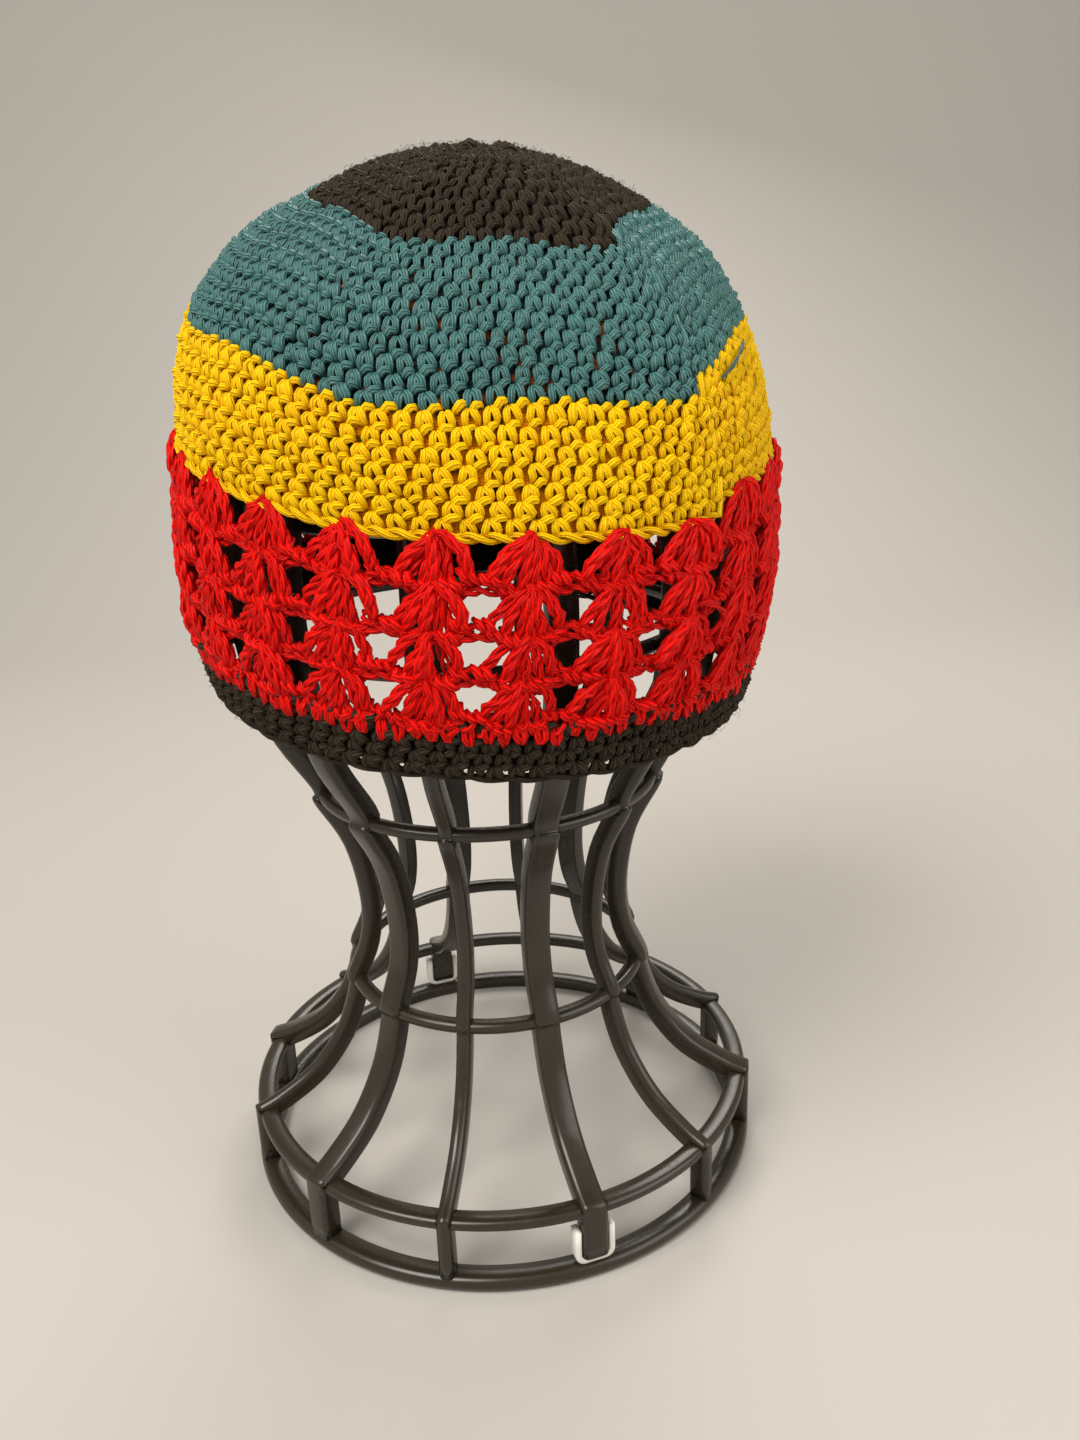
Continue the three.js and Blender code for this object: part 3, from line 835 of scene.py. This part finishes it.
def clip_mesh(skein, turn, wide):
    """A thin strip bent into a U under a foot and up both of its sides."""
    thick, tall, deep, inset = CLIP_THICK, 12.0, 4.5, 1.2
    half = wide / 2 + CLEAR + thick / 2
    low = node_span("base_ring")[1] + CLEAR + thick / 2
    high = low + tall - thick / 2
    bend = 2.2
    arc = np.radians(np.linspace(0, 90, 6))
    right = [(half - bend + bend * math.sin(a), low + bend - bend * math.cos(a)) for a in arc]
    left = [(-across, up) for across, up in right[::-1]]
    line = [(-half, high), (-half, (low + high) / 2), *left, *right, (half, (low + high) / 2), (half, high)]
    line = np.array(line)
    ahead = unit(np.gradient(line, axis=0))
    normal = np.stack([-ahead[:, 1], ahead[:, 0]], -1)
    front = RAIL_RADIUS + RIB_PROUD - inset
    side = around(1, turn + 90, 0)
    section = [
        (-0.5, 0.08), (-0.38, 0), (0.38, 0), (0.5, 0.08),
        (0.5, 0.92), (0.38, 1), (-0.38, 1), (-0.5, 0.92),
    ]
    loops = []
    for (across, up), (nx, nz) in zip(line, normal):
        loop = []
        for share, back in section:
            shift = share * thick
            loop.append(around(front - back * deep, turn, up + nz * shift) + side * (across + nx * shift))
        loops.append(loop)
    skein.sheet(np.array(loops), flip=True)
    size = len(section)
    base = skein.count - len(line) * size
    skein.close(size, base + np.arange(size)[::-1], skein.count - size + np.arange(size))


# Free yarn: place along the profile, turn and height off the hat in millimetres
LOOSE_END = ((4.02, 74, 1.2), (4.03, 67, 2.4), (4.04, 59, 2.4), (4.04, 52, 1.6))
LOOSE_LOOP = (
    (6.98, 36, 1.5), (6.98, 39, 4), (7.1, 42.5, 4.8),
    (7.2, 43, 4.4), (7.3, 41.5, 3), (7.34, 40, 1),
)

# Red lace: across in columns, down in rows, height in millimetres, radius as a share of the yarn
SHELL_FEET = (
    dict(across=-0.4, down=0.8, bow=1.35),
    dict(across=-0.235, down=0.93, bow=1.2),
    dict(across=-0.08, down=1.02, bow=1.05),
    dict(across=0.075, down=1.03, bow=1.1),
    dict(across=0.225, down=0.95, bow=1.6),
    dict(across=0.37, down=0.78, bow=2.1),
)
LEG_STEPS = 9
LEG_STRANDS = 3
LEG_TWIST = 1.1
LACE_RISE = 11.7
LACE_PITCH = 23.3


def twisted(route, turns, spread, strand, strands, phase=0):
    """One strand of a bundle that twists round a route of across, down, height and radius."""
    angle = np.linspace(0, 2 * np.pi * turns, len(route)) + 2 * np.pi * strand / strands + phase
    spread = spread * route[:, 3]
    heading = np.gradient(route[:, :2] * (LACE_PITCH, LACE_RISE), axis=0)
    aside = unit(np.stack([heading[:, 1], -heading[:, 0]], -1))
    return np.stack([
        route[:, 0] + aside[:, 0] * spread * np.cos(angle) / LACE_PITCH,
        route[:, 1] + aside[:, 1] * spread * np.cos(angle) / LACE_RISE,
        route[:, 2] + 0.8 * spread * np.sin(angle),
        route[:, 3],
    ], -1)


def shell_leg(foot):
    """The middle line of a shell's leg, from the hole above to its foot, bowed outward."""
    share = np.linspace(0, 1, LEG_STEPS)
    x = foot["across"] * (1 - (1 - share) ** foot["bow"])
    y = -0.13 + (foot["down"] + 0.13) * share ** (0.85 + 0.2 * foot["bow"])
    height = 1.4 + 1.3 * np.sin(np.pi * (0.25 + 0.68 * share))
    radius = np.interp(share, [0, 0.25, 0.65, 1], [0.66, 1.05, 1.3, 0.95])
    return np.stack([x, y, height, radius], -1)


def shell_rim():
    """The chain along a shell's scalloped lower edge."""
    return smooth_route([
        (-0.47, 0.72, 0.9, 0.8), (-0.38, 0.84, 1.7, 1), (-0.2, 0.99, 1.9, 1), (0, 1.05, 1.7, 1),
        (0.2, 0.99, 1.9, 1), (0.38, 0.83, 1.7, 1), (0.47, 0.7, 0.9, 0.8),
    ], steps=30)


def foot_knot(foot, side):
    """A small slanting loop that wraps a foot."""
    x, y = foot["across"] + 0.052 * side, foot["down"] - 0.07
    lean = 0.6 * foot["across"]
    return smooth_route([
        (x - 0.065, y - 0.1 - lean * 0.12, 0.4, 0.7),
        (x - 0.035, y - 0.03, 2.2, 1),
        (x + 0.02, y + 0.08, 2.6, 1),
        (x + 0.06, y + 0.17 + lean * 0.12, 0.8, 0.7),
    ], steps=6)


def link_strand():
    """The strand from a shell's last foot to the next shell's first."""
    return smooth_route([
        (0.41, 0.78, 1, 0.9), (0.47, 0.72, 1.3, 0.9), (0.53, 0.72, 1.3, 0.9), (0.59, 0.8, 1, 0.9),
    ], steps=8)


def chain_strand():
    """The chain that arches from shell to shell below the link."""
    return smooth_route([
        (0.16, 1.2, -0.2, 0.8), (0.26, 1.13, 0.7, 1), (0.4, 0.98, 1.2, 1), (0.54, 0.94, 1.2, 1),
        (0.7, 0.98, 1.1, 1), (0.82, 1.1, 0.5, 1), (0.9, 1.2, -0.2, 0.8),
    ], steps=18)


def lay_lace(skein, band, shape, columns, rows, yarn, seed, wild=1.0):
    """Lays one strand of every shell; columns and rows hold one number per shell."""
    draws = np.random.default_rng(seed)
    count = len(rows)
    shift = draws.normal(0, 0.012 * wild, (2, count, 1))
    shift = shift + draws.normal(0, 0.006 * wild, (2, count, len(shape)))
    swell = 1 + draws.normal(0, 0.08 * wild, (count, 1))
    pitch = 360 / LACE_COLUMNS
    down = rows[:, None] + shape[:, 1] + shift[1] * 1.6
    turn = (columns[:, None] + 0.5 + shape[:, 0] + shift[0]) * pitch + LACE_DRIFT * down
    height = shape[:, 2] * swell - 0.9
    route, outward = hat_frame(band.spiral_place(down, turn), turn, height)
    # Painted shade: lower parts of the lace strands are painted darker
    depth = np.clip(0.42 + 0.27 * shape[:, 2] * swell, 0.2, 1)
    skein.tubes(route, outward, shape[:, 3] * swell * yarn, sides=5, flat=0.95, depth=depth)


class TamSizes(bpy.types.PropertyGroup):
    """Sizes that set how the crochet and the stand are made."""

    yarn: bpy.props.FloatProperty(
        name="Yarn radius", description="Radius of one yarn in the green and yellow rows", unit="LENGTH",
        default=1.0 * MM, min=0.5 * MM, max=2 * MM)
    fine_yarn: bpy.props.FloatProperty(
        name="Crown yarn radius", description="Radius of one yarn in the black crown", unit="LENGTH",
        default=0.92 * MM, min=0.4 * MM, max=2 * MM)
    lace_yarn: bpy.props.FloatProperty(
        name="Lace yarn radius", description="Radius of one strand in the red lace", unit="LENGTH",
        default=0.84 * MM, min=0.3 * MM, max=1.5 * MM)
    hem_yarn: bpy.props.FloatProperty(
        name="Hem yarn radius", description="Radius of one yarn in the black hem", unit="LENGTH",
        default=1.02 * MM, min=0.4 * MM, max=2 * MM)
    wide_rib: bpy.props.FloatProperty(
        name="Wide rib", description="Width of the wide ribs", unit="LENGTH",
        default=8.4 * MM, min=3 * MM, max=14 * MM)
    narrow_rib: bpy.props.FloatProperty(
        name="Narrow rib", description="Width of the narrow ribs", unit="LENGTH",
        default=4.8 * MM, min=2 * MM, max=10 * MM)


class TamColours(bpy.types.PropertyGroup):
    """Colours of the yarns, the stand and the table."""

    black: bpy.props.FloatVectorProperty(
        name="Black yarn", description="Colour of the crown and hem", subtype="COLOR",
        default=(0.046, 0.032, 0.017))
    green: bpy.props.FloatVectorProperty(
        name="Green yarn", description="Colour of the blue-green rows", subtype="COLOR",
        default=(0.085, 0.255, 0.245))
    yellow: bpy.props.FloatVectorProperty(
        name="Yellow yarn", description="Colour of the yellow rows", subtype="COLOR",
        default=(1.0, 0.71, 0.0))
    red: bpy.props.FloatVectorProperty(
        name="Red yarn", description="Colour of the lace", subtype="COLOR",
        default=(1.0, 0.004, 0.0))
    stand: bpy.props.FloatVectorProperty(
        name="Stand", description="Colour of the moulded stand", subtype="COLOR",
        default=(0.024, 0.018, 0.01))
    clip: bpy.props.FloatVectorProperty(
        name="Clips", description="Colour of the foot clips", subtype="COLOR",
        default=(0.8, 0.78, 0.72))
    table: bpy.props.FloatVectorProperty(
        name="Table", description="Colour of the floor", subtype="COLOR",
        default=(0.5, 0.475, 0.44))


class PieceOperator:
    """What every step of the build shares: its place in the undo list and its settings."""

    bl_options = {"REGISTER", "UNDO"}

    def settings(self, context):
        """The sizes by name, in millimetres, and the colours."""
        chosen = context.scene.tam_sizes
        sizes = {name: getattr(chosen, name) / MM for name in TamSizes.__annotations__}
        return sizes, context.scene.tam_colours


class TAM_OT_camera(PieceOperator, bpy.types.Operator):
    """Sets the camera at the viewing angle of the photograph"""

    bl_idname = "tam.camera"
    bl_label = "Camera"

    def execute(self, context):
        # Angles in radians, distances in metres from the stand's axis and the floor
        pitch, roll, yaw = 0.3229, -0.0374, 0.0512
        back, up = 0.3622, 0.2739
        film = 36
        focal_share = 0.79015
        data = bpy.data.cameras.new("view")
        data.sensor_fit = "VERTICAL"
        data.sensor_height = film
        data.lens = film * focal_share
        data.clip_start = 0.01
        camera = bpy.data.objects.new("view", data)
        context.scene.collection.objects.link(camera)
        ahead = Vector((math.sin(yaw) * math.cos(pitch), math.cos(yaw) * math.cos(pitch), -math.sin(pitch)))
        level = Vector((math.cos(yaw), -math.sin(yaw), 0))
        over = level.cross(ahead)
        right = level * math.cos(roll) + over * math.sin(roll)
        top = over * math.cos(roll) - level * math.sin(roll)
        turn = Matrix((right, top, -ahead)).transposed().to_4x4()
        camera.matrix_world = Matrix.Translation((AXIS.x, AXIS.y - back, up)) @ turn
        context.scene.camera = camera
        return {"FINISHED"}


class TAM_OT_crown(PieceOperator, bpy.types.Operator):
    """Crochets the black crown in rounds from the middle"""

    bl_idname = "tam.crown"
    bl_label = "Black crown"

    def execute(self, context):
        sizes, colours = self.settings(context)
        band = Band("peak", "black_green", CROWN_ROWS, (0, 1))
        skein = Skein()
        counts = [CROWN_GROWTH * (row + 1) for row in range(CROWN_ROWS)]
        rows, turns, pitches = stitch_grid(0, CROWN_ROWS, counts, SEED)
        knit_rows(skein, band, rows, turns, pitches, sizes["fine_yarn"], SEED + 10)
        lining(skein, band, CROWN_ROWS, columns=96, yarn=sizes["fine_yarn"])
        fuzz(skein, start=0.2, end=2, count=500, seed=SEED + 13)
        for turn in PEAK_KNOT_TURNS:
            self.knot(skein, band, turn)
        black = yarn_look("crown_yarn", colours.black, **BLACK_YARN)
        keep_piece(skein.make("crown", black), "black_yarn", "crown_top")
        return {"FINISHED"}

    def knot(self, skein, band, turn):
        """Three thick stitches side by side near the peak."""
        rows = np.array([0.9, 0.75, 0.9])
        turns = turn + np.array([0, 14, 28])
        for leg in (LEFT_LEG, RIGHT_LEG):
            pitches = np.full(3, 40.0)
            lay_strands(
                skein, band, leg, rows, turns, pitches, PEAK_KNOT_YARN, sides=6, seed=SEED + turn, lift=0.5)


class TAM_OT_green(PieceOperator, bpy.types.Operator):
    """Crochets the blue-green rounds"""

    bl_idname = "tam.green"
    bl_label = "Green rounds"

    def execute(self, context):
        sizes, colours = self.settings(context)
        band = Band("black_green", "green_yellow", GREEN_ROWS, (1, 1))
        counts = [min(STITCHES_AT_RIM, CROWN_GROWTH * (CROWN_ROWS + 1 + row)) for row in range(GREEN_ROWS)]
        rows, turns, pitches = stitch_grid(0, GREEN_ROWS, counts, SEED + 1)
        yarn = sizes["yarn"] * (0.9 + 0.1 * rows / GREEN_ROWS)
        green = yarn_look("green_yarn", colours.green, **GREEN_YARN)
        upper = rows < GREEN_ROWS / 2 - 0.5
        high, low = Skein(), Skein()
        for skein, part, seed in ((high, upper, SEED + 20), (low, ~upper, SEED + 24)):
            knit_rows(skein, band, rows[part], turns[part], pitches[part], yarn[part], seed)
        lining(low, band, GREEN_ROWS, columns=120, yarn=sizes["yarn"])
        loose_strand(low, LOOSE_END, radius=0.32)
        keep_piece(high.make("green_rounds_high", green), "green_yarn", "green_band")
        keep_piece(low.make("green_rounds_low", green), "green_yarn", "green_band")
        return {"FINISHED"}


class TAM_OT_yellow(PieceOperator, bpy.types.Operator):
    """Crochets the yellow rounds and the roped rim below them"""

    bl_idname = "tam.yellow"
    bl_label = "Yellow rounds"

    def execute(self, context):
        sizes, colours = self.settings(context)
        band = Band("green_yellow", "yellow_red", YELLOW_ROWS, (1, 1))
        skein = Skein()
        rows, turns, pitches = stitch_grid(0, YELLOW_ROWS, [STITCHES_AT_RIM] * YELLOW_ROWS, SEED + 2)
        knit_rows(skein, band, rows, turns, pitches, sizes["yarn"], SEED + 30)
        rope_yarn = 0.88 * sizes["yarn"]
        rope_round(skein, band, YELLOW_ROWS, STITCHES_AT_RIM, rope_yarn, spread=0.95, lift=0.6, seed=SEED + 3)
        lining(skein, band, YELLOW_ROWS, columns=132, yarn=sizes["yarn"])
        yellow = yarn_look("yellow_yarn", colours.yellow, **YELLOW_YARN)
        keep_piece(skein.make("yellow_rounds", yellow), "yellow_yarn", "yellow_band")
        return {"FINISHED"}


class TAM_OT_lace(PieceOperator, bpy.types.Operator):
    """Crochets the open red shells, their links and the stubs over the hem"""

    bl_idname = "tam.lace"
    bl_label = "Red lace"

    def execute(self, context):
        sizes, colours = self.settings(context)
        band = Band("yellow_red", "red_black", LACE_ROWS, (0.46, 0))
        columns, rows = np.meshgrid(np.arange(LACE_COLUMNS), np.arange(LACE_ROWS))
        columns, rows = columns.ravel().astype(float), rows.ravel().astype(float)
        red = yarn_look("red_yarn", colours.red, **RED_YARN)
        upper = rows < LACE_ROWS / 2
        high, low = Skein(), Skein()
        self.shells(high, band, columns[upper], rows[upper], sizes["lace_yarn"], SEED + 40)
        self.shells(low, band, columns[~upper], rows[~upper], sizes["lace_yarn"], SEED + 60)
        self.stubs(low, band, sizes["lace_yarn"])
        loose_strand(low, LOOSE_LOOP, radius=0.5)
        keep_piece(high.make("red_shells_high", red), "red_yarn", "red_lace")
        keep_piece(low.make("red_shells_low", red), "red_yarn", "red_lace")
        return {"FINISHED"}

    def shells(self, skein, band, columns, rows, yarn, seed):
        """Every shell's legs, knots and rim, and the links and chains between shells."""
        for index, foot in enumerate(SHELL_FEET):
            leg = shell_leg(foot)
            for strand in range(LEG_STRANDS):
                line = twisted(leg, LEG_TWIST, 0.95 * yarn, strand, LEG_STRANDS, phase=index)
                lay_lace(skein, band, line, columns, rows, 0.88 * yarn, seed + index, wild=2)
            for side in (-1, 1):
                knot = foot_knot(foot, side)
                lay_lace(skein, band, knot, columns, rows, 1.1 * yarn, seed + 10 + index, wild=2.4)
        ropes = (
            (shell_rim(), 4.5, 0.75, columns, rows),
            (link_strand(), 0.7, 0.7, columns, rows),
            (chain_strand(), 2.5, 0.85, columns[rows < LACE_ROWS - 1], rows[rows < LACE_ROWS - 1]),
        )
        for line, turns, spread, rope_columns, rope_rows in ropes:
            for strand in range(2):
                rope = twisted(line, turns, spread * yarn, strand, strands=2)
                lay_lace(skein, band, rope, rope_columns, rope_rows, 0.86 * yarn, seed + 18)

    def stubs(self, skein, band, yarn):
        """The row of short stitches that joins the lace to the hem."""
        count = LACE_COLUMNS * STUBS_PER_SHELL
        pitch = 360 / count
        turns = np.arange(count) * pitch + LACE_DRIFT * LACE_ROWS
        rows = np.full(count, float(LACE_ROWS))
        pitches = np.full(count, pitch)
        lay_strands(
            skein, band, STUB, rows, turns, pitches, 1.12 * yarn, sides=6, seed=SEED + 90, wild=1.6, lift=1.1)
        lay_strands(
            skein, band, STUB_WRAP, rows, turns, pitches, yarn, sides=5, seed=SEED + 91, wild=1.6, lift=1.1)


class TAM_OT_hem(PieceOperator, bpy.types.Operator):
    """Crochets the black hem with its small holes and wavy edge"""

    bl_idname = "tam.hem"
    bl_label = "Black hem"

    def execute(self, context):
        sizes, colours = self.settings(context)
        band = Band("red_black", "edge", HEM_ROWS)
        skein = Skein()
        rows, turns, pitches = stitch_grid(0, HEM_ROWS, [STITCHES_AT_RIM] * HEM_ROWS, SEED + 3)
        yarn = sizes["hem_yarn"]
        knit_rows(skein, band, rows, turns, pitches, yarn, SEED + 50)
        rope_round(skein, band, 0.0, STITCHES_AT_RIM, 0.8 * yarn, spread=0.7, lift=-0.8, seed=SEED + 4)
        lining(skein, band, HEM_ROWS - 0.6, columns=120, yarn=0.9 * yarn)
        edge_stitches = STITCHES_AT_RIM // 2
        rope_round(skein, band, HEM_ROWS, edge_stitches, 0.75 * yarn, spread=0.75, lift=-0.2, seed=SEED + 5)
        fuzz(skein, start=8.1, end=8.95, count=400, seed=SEED + 52)
        black = yarn_look("hem_yarn", colours.black, **BLACK_YARN)
        keep_piece(skein.make("hem", black), "black_yarn", "black_hem")
        return {"FINISHED"}


class TAM_OT_stand(PieceOperator, bpy.types.Operator):
    """Makes the stand's rings, ribs and cap with their moulded edges"""

    bl_idname = "tam.stand"
    bl_label = "Cage stand"

    def execute(self, context):
        sizes, colours = self.settings(context)
        plastic = plastic_look("stand_plastic", colours.stand, roughness=0.26)
        for node, wide in RING_WIDTHS.items():
            skein = Skein()
            lathe(skein, bead_section(node_radius(node), wide, *node_span(node)))
            keep_piece(skein.make(node + "_moulded", plastic), "stand_plastic", node)
        base_top = node_span("base_ring")[1]
        seated = base_top - SEAT_SUNK
        over_clip = base_top + CLIP_THICK + 2 * CLEAR
        for i in range(RIB_PAIRS):
            turn = FIRST_WIDE_TURN + 360 / RIB_PAIRS * i
            clipped = i % (RIB_PAIRS // 2) == 0
            foot = over_clip if clipped else seated
            self.rib(plastic, f"wide_rib_{i + 1}", turn, sizes["wide_rib"], foot, False)
            narrow_turn = turn + 180 / RIB_PAIRS
            self.rib(plastic, f"narrow_rib_{i + 1}", narrow_turn, sizes["narrow_rib"], seated, True)
        return {"FINISHED"}

    def rib(self, plastic, node, turn, wide, foot, narrow):
        """Makes one rib at a turn, from the height of its foot up."""
        skein = Skein()
        rib_mesh(skein, turn, wide, foot, narrow)
        keep_piece(skein.make(node + "_moulded", plastic), "stand_plastic", node)


class TAM_OT_clips(PieceOperator, bpy.types.Operator):
    """Makes the two white clips that hold a front and a back foot"""

    bl_idname = "tam.clips"
    bl_label = "Foot clips"

    def execute(self, context):
        sizes, colours = self.settings(context)
        white = plastic_look("clip_plastic", colours.clip, roughness=0.42)
        for name, turn in (("front", FIRST_WIDE_TURN), ("back", FIRST_WIDE_TURN + 180)):
            skein = Skein()
            clip_mesh(skein, turn, sizes["wide_rib"])
            keep_piece(skein.make(name + "_foot_clip", white), "clip_plastic", name + "_clip")
        return {"FINISHED"}


WARM_WHITE = (1.0, 0.965, 0.91, 1.0)


class TAM_OT_stage(PieceOperator, bpy.types.Operator):
    """Lays the pale floor with its backdrop, and sets soft studio lights"""

    bl_idname = "tam.stage"
    bl_label = "Stage"

    def execute(self, context):
        _, colours = self.settings(context)
        self.floor(floor_look("table", colours.table))
        self.light("key", place=(-0.55, -0.55, 1.1), size=0.7, power=15)
        self.light("fill", place=(0.95, -0.5, 0.7), size=0.9, power=6)
        self.light("back", place=(0.25, 0.9, 1.0), size=0.6, power=7)
        world = bpy.data.worlds.new("studio")
        world.use_nodes = True
        background = world.node_tree.nodes["Background"]
        background.inputs["Color"].default_value = WARM_WHITE
        background.inputs["Strength"].default_value = 0.5
        context.scene.world = world
        context.scene.view_settings.view_transform = "Standard"
        return {"FINISHED"}

    def floor(self, material):
        """A flat floor that curves up into a wall far behind."""
        reach, wall, bend, tall = 2.5, 1.3, 0.6, 2.4
        arc = np.radians(np.linspace(0, 90, 14))
        line = [(-reach, 0.0), *[(wall - bend + bend * math.sin(a), bend - bend * math.cos(a)) for a in arc]]
        line.append((wall, tall))
        points = [(x, y, z) for y, z in line for x in (-reach, reach)]
        faces = [(2 * i, 2 * i + 1, 2 * i + 3, 2 * i + 2) for i in range(len(line) - 1)]
        mesh = bpy.data.meshes.new("floor")
        mesh.from_pydata(points, [], faces)
        mesh.polygons.foreach_set("use_smooth", [True] * len(faces))
        mesh.materials.append(material)
        floor = bpy.data.objects.new("floor", mesh)
        bpy.context.scene.collection.objects.link(floor)

    def light(self, name, place, size, power):
        """A soft square lamp that points at the middle of the hat and stand, in metres and watts."""
        middle = Vector((0, 0, 0.18))
        data = bpy.data.lights.new(name, "AREA")
        data.size = size
        data.energy = power
        data.color = (1.0, 0.96, 0.9)
        lamp = bpy.data.objects.new(name, data)
        lamp.location = place
        lamp.rotation_euler = (middle - Vector(place)).to_track_quat("-Z", "Y").to_euler()
        bpy.context.scene.collection.objects.link(lamp)


STEPS = (
    TAM_OT_camera,
    TAM_OT_crown,
    TAM_OT_green,
    TAM_OT_yellow,
    TAM_OT_lace,
    TAM_OT_hem,
    TAM_OT_stand,
    TAM_OT_clips,
    TAM_OT_stage,
)


class TAM_PT_panel(bpy.types.Panel):
    """Lists the sizes, the colours and the steps of the build"""

    bl_label = "Crochet tam"
    bl_idname = "TAM_PT_panel"
    bl_space_type = "VIEW_3D"
    bl_region_type = "UI"
    bl_category = "Tam"

    def draw(self, context):
        layout = self.layout
        scene = context.scene
        for group, kind in ((scene.tam_sizes, TamSizes), (scene.tam_colours, TamColours)):
            for name in kind.__annotations__:
                layout.prop(group, name)
        for step in STEPS:
            layout.operator(step.bl_idname)


CLASSES = (TamSizes, TamColours, *STEPS, TAM_PT_panel)


def register():
    for item in CLASSES:
        bpy.utils.register_class(item)
    bpy.types.Scene.tam_sizes = bpy.props.PointerProperty(type=TamSizes)
    bpy.types.Scene.tam_colours = bpy.props.PointerProperty(type=TamColours)


def unregister():
    del bpy.types.Scene.tam_colours
    del bpy.types.Scene.tam_sizes
    for item in reversed(CLASSES):
        bpy.utils.unregister_class(item)


def main():
    register()
    bpy.ops.tam.camera()
    bpy.ops.tam.crown()
    bpy.ops.tam.green()
    bpy.ops.tam.yellow()
    bpy.ops.tam.lace()
    bpy.ops.tam.hem()
    bpy.ops.tam.stand()
    bpy.ops.tam.clips()
    bpy.ops.tam.stage()


if __name__ == "__main__":
    main()
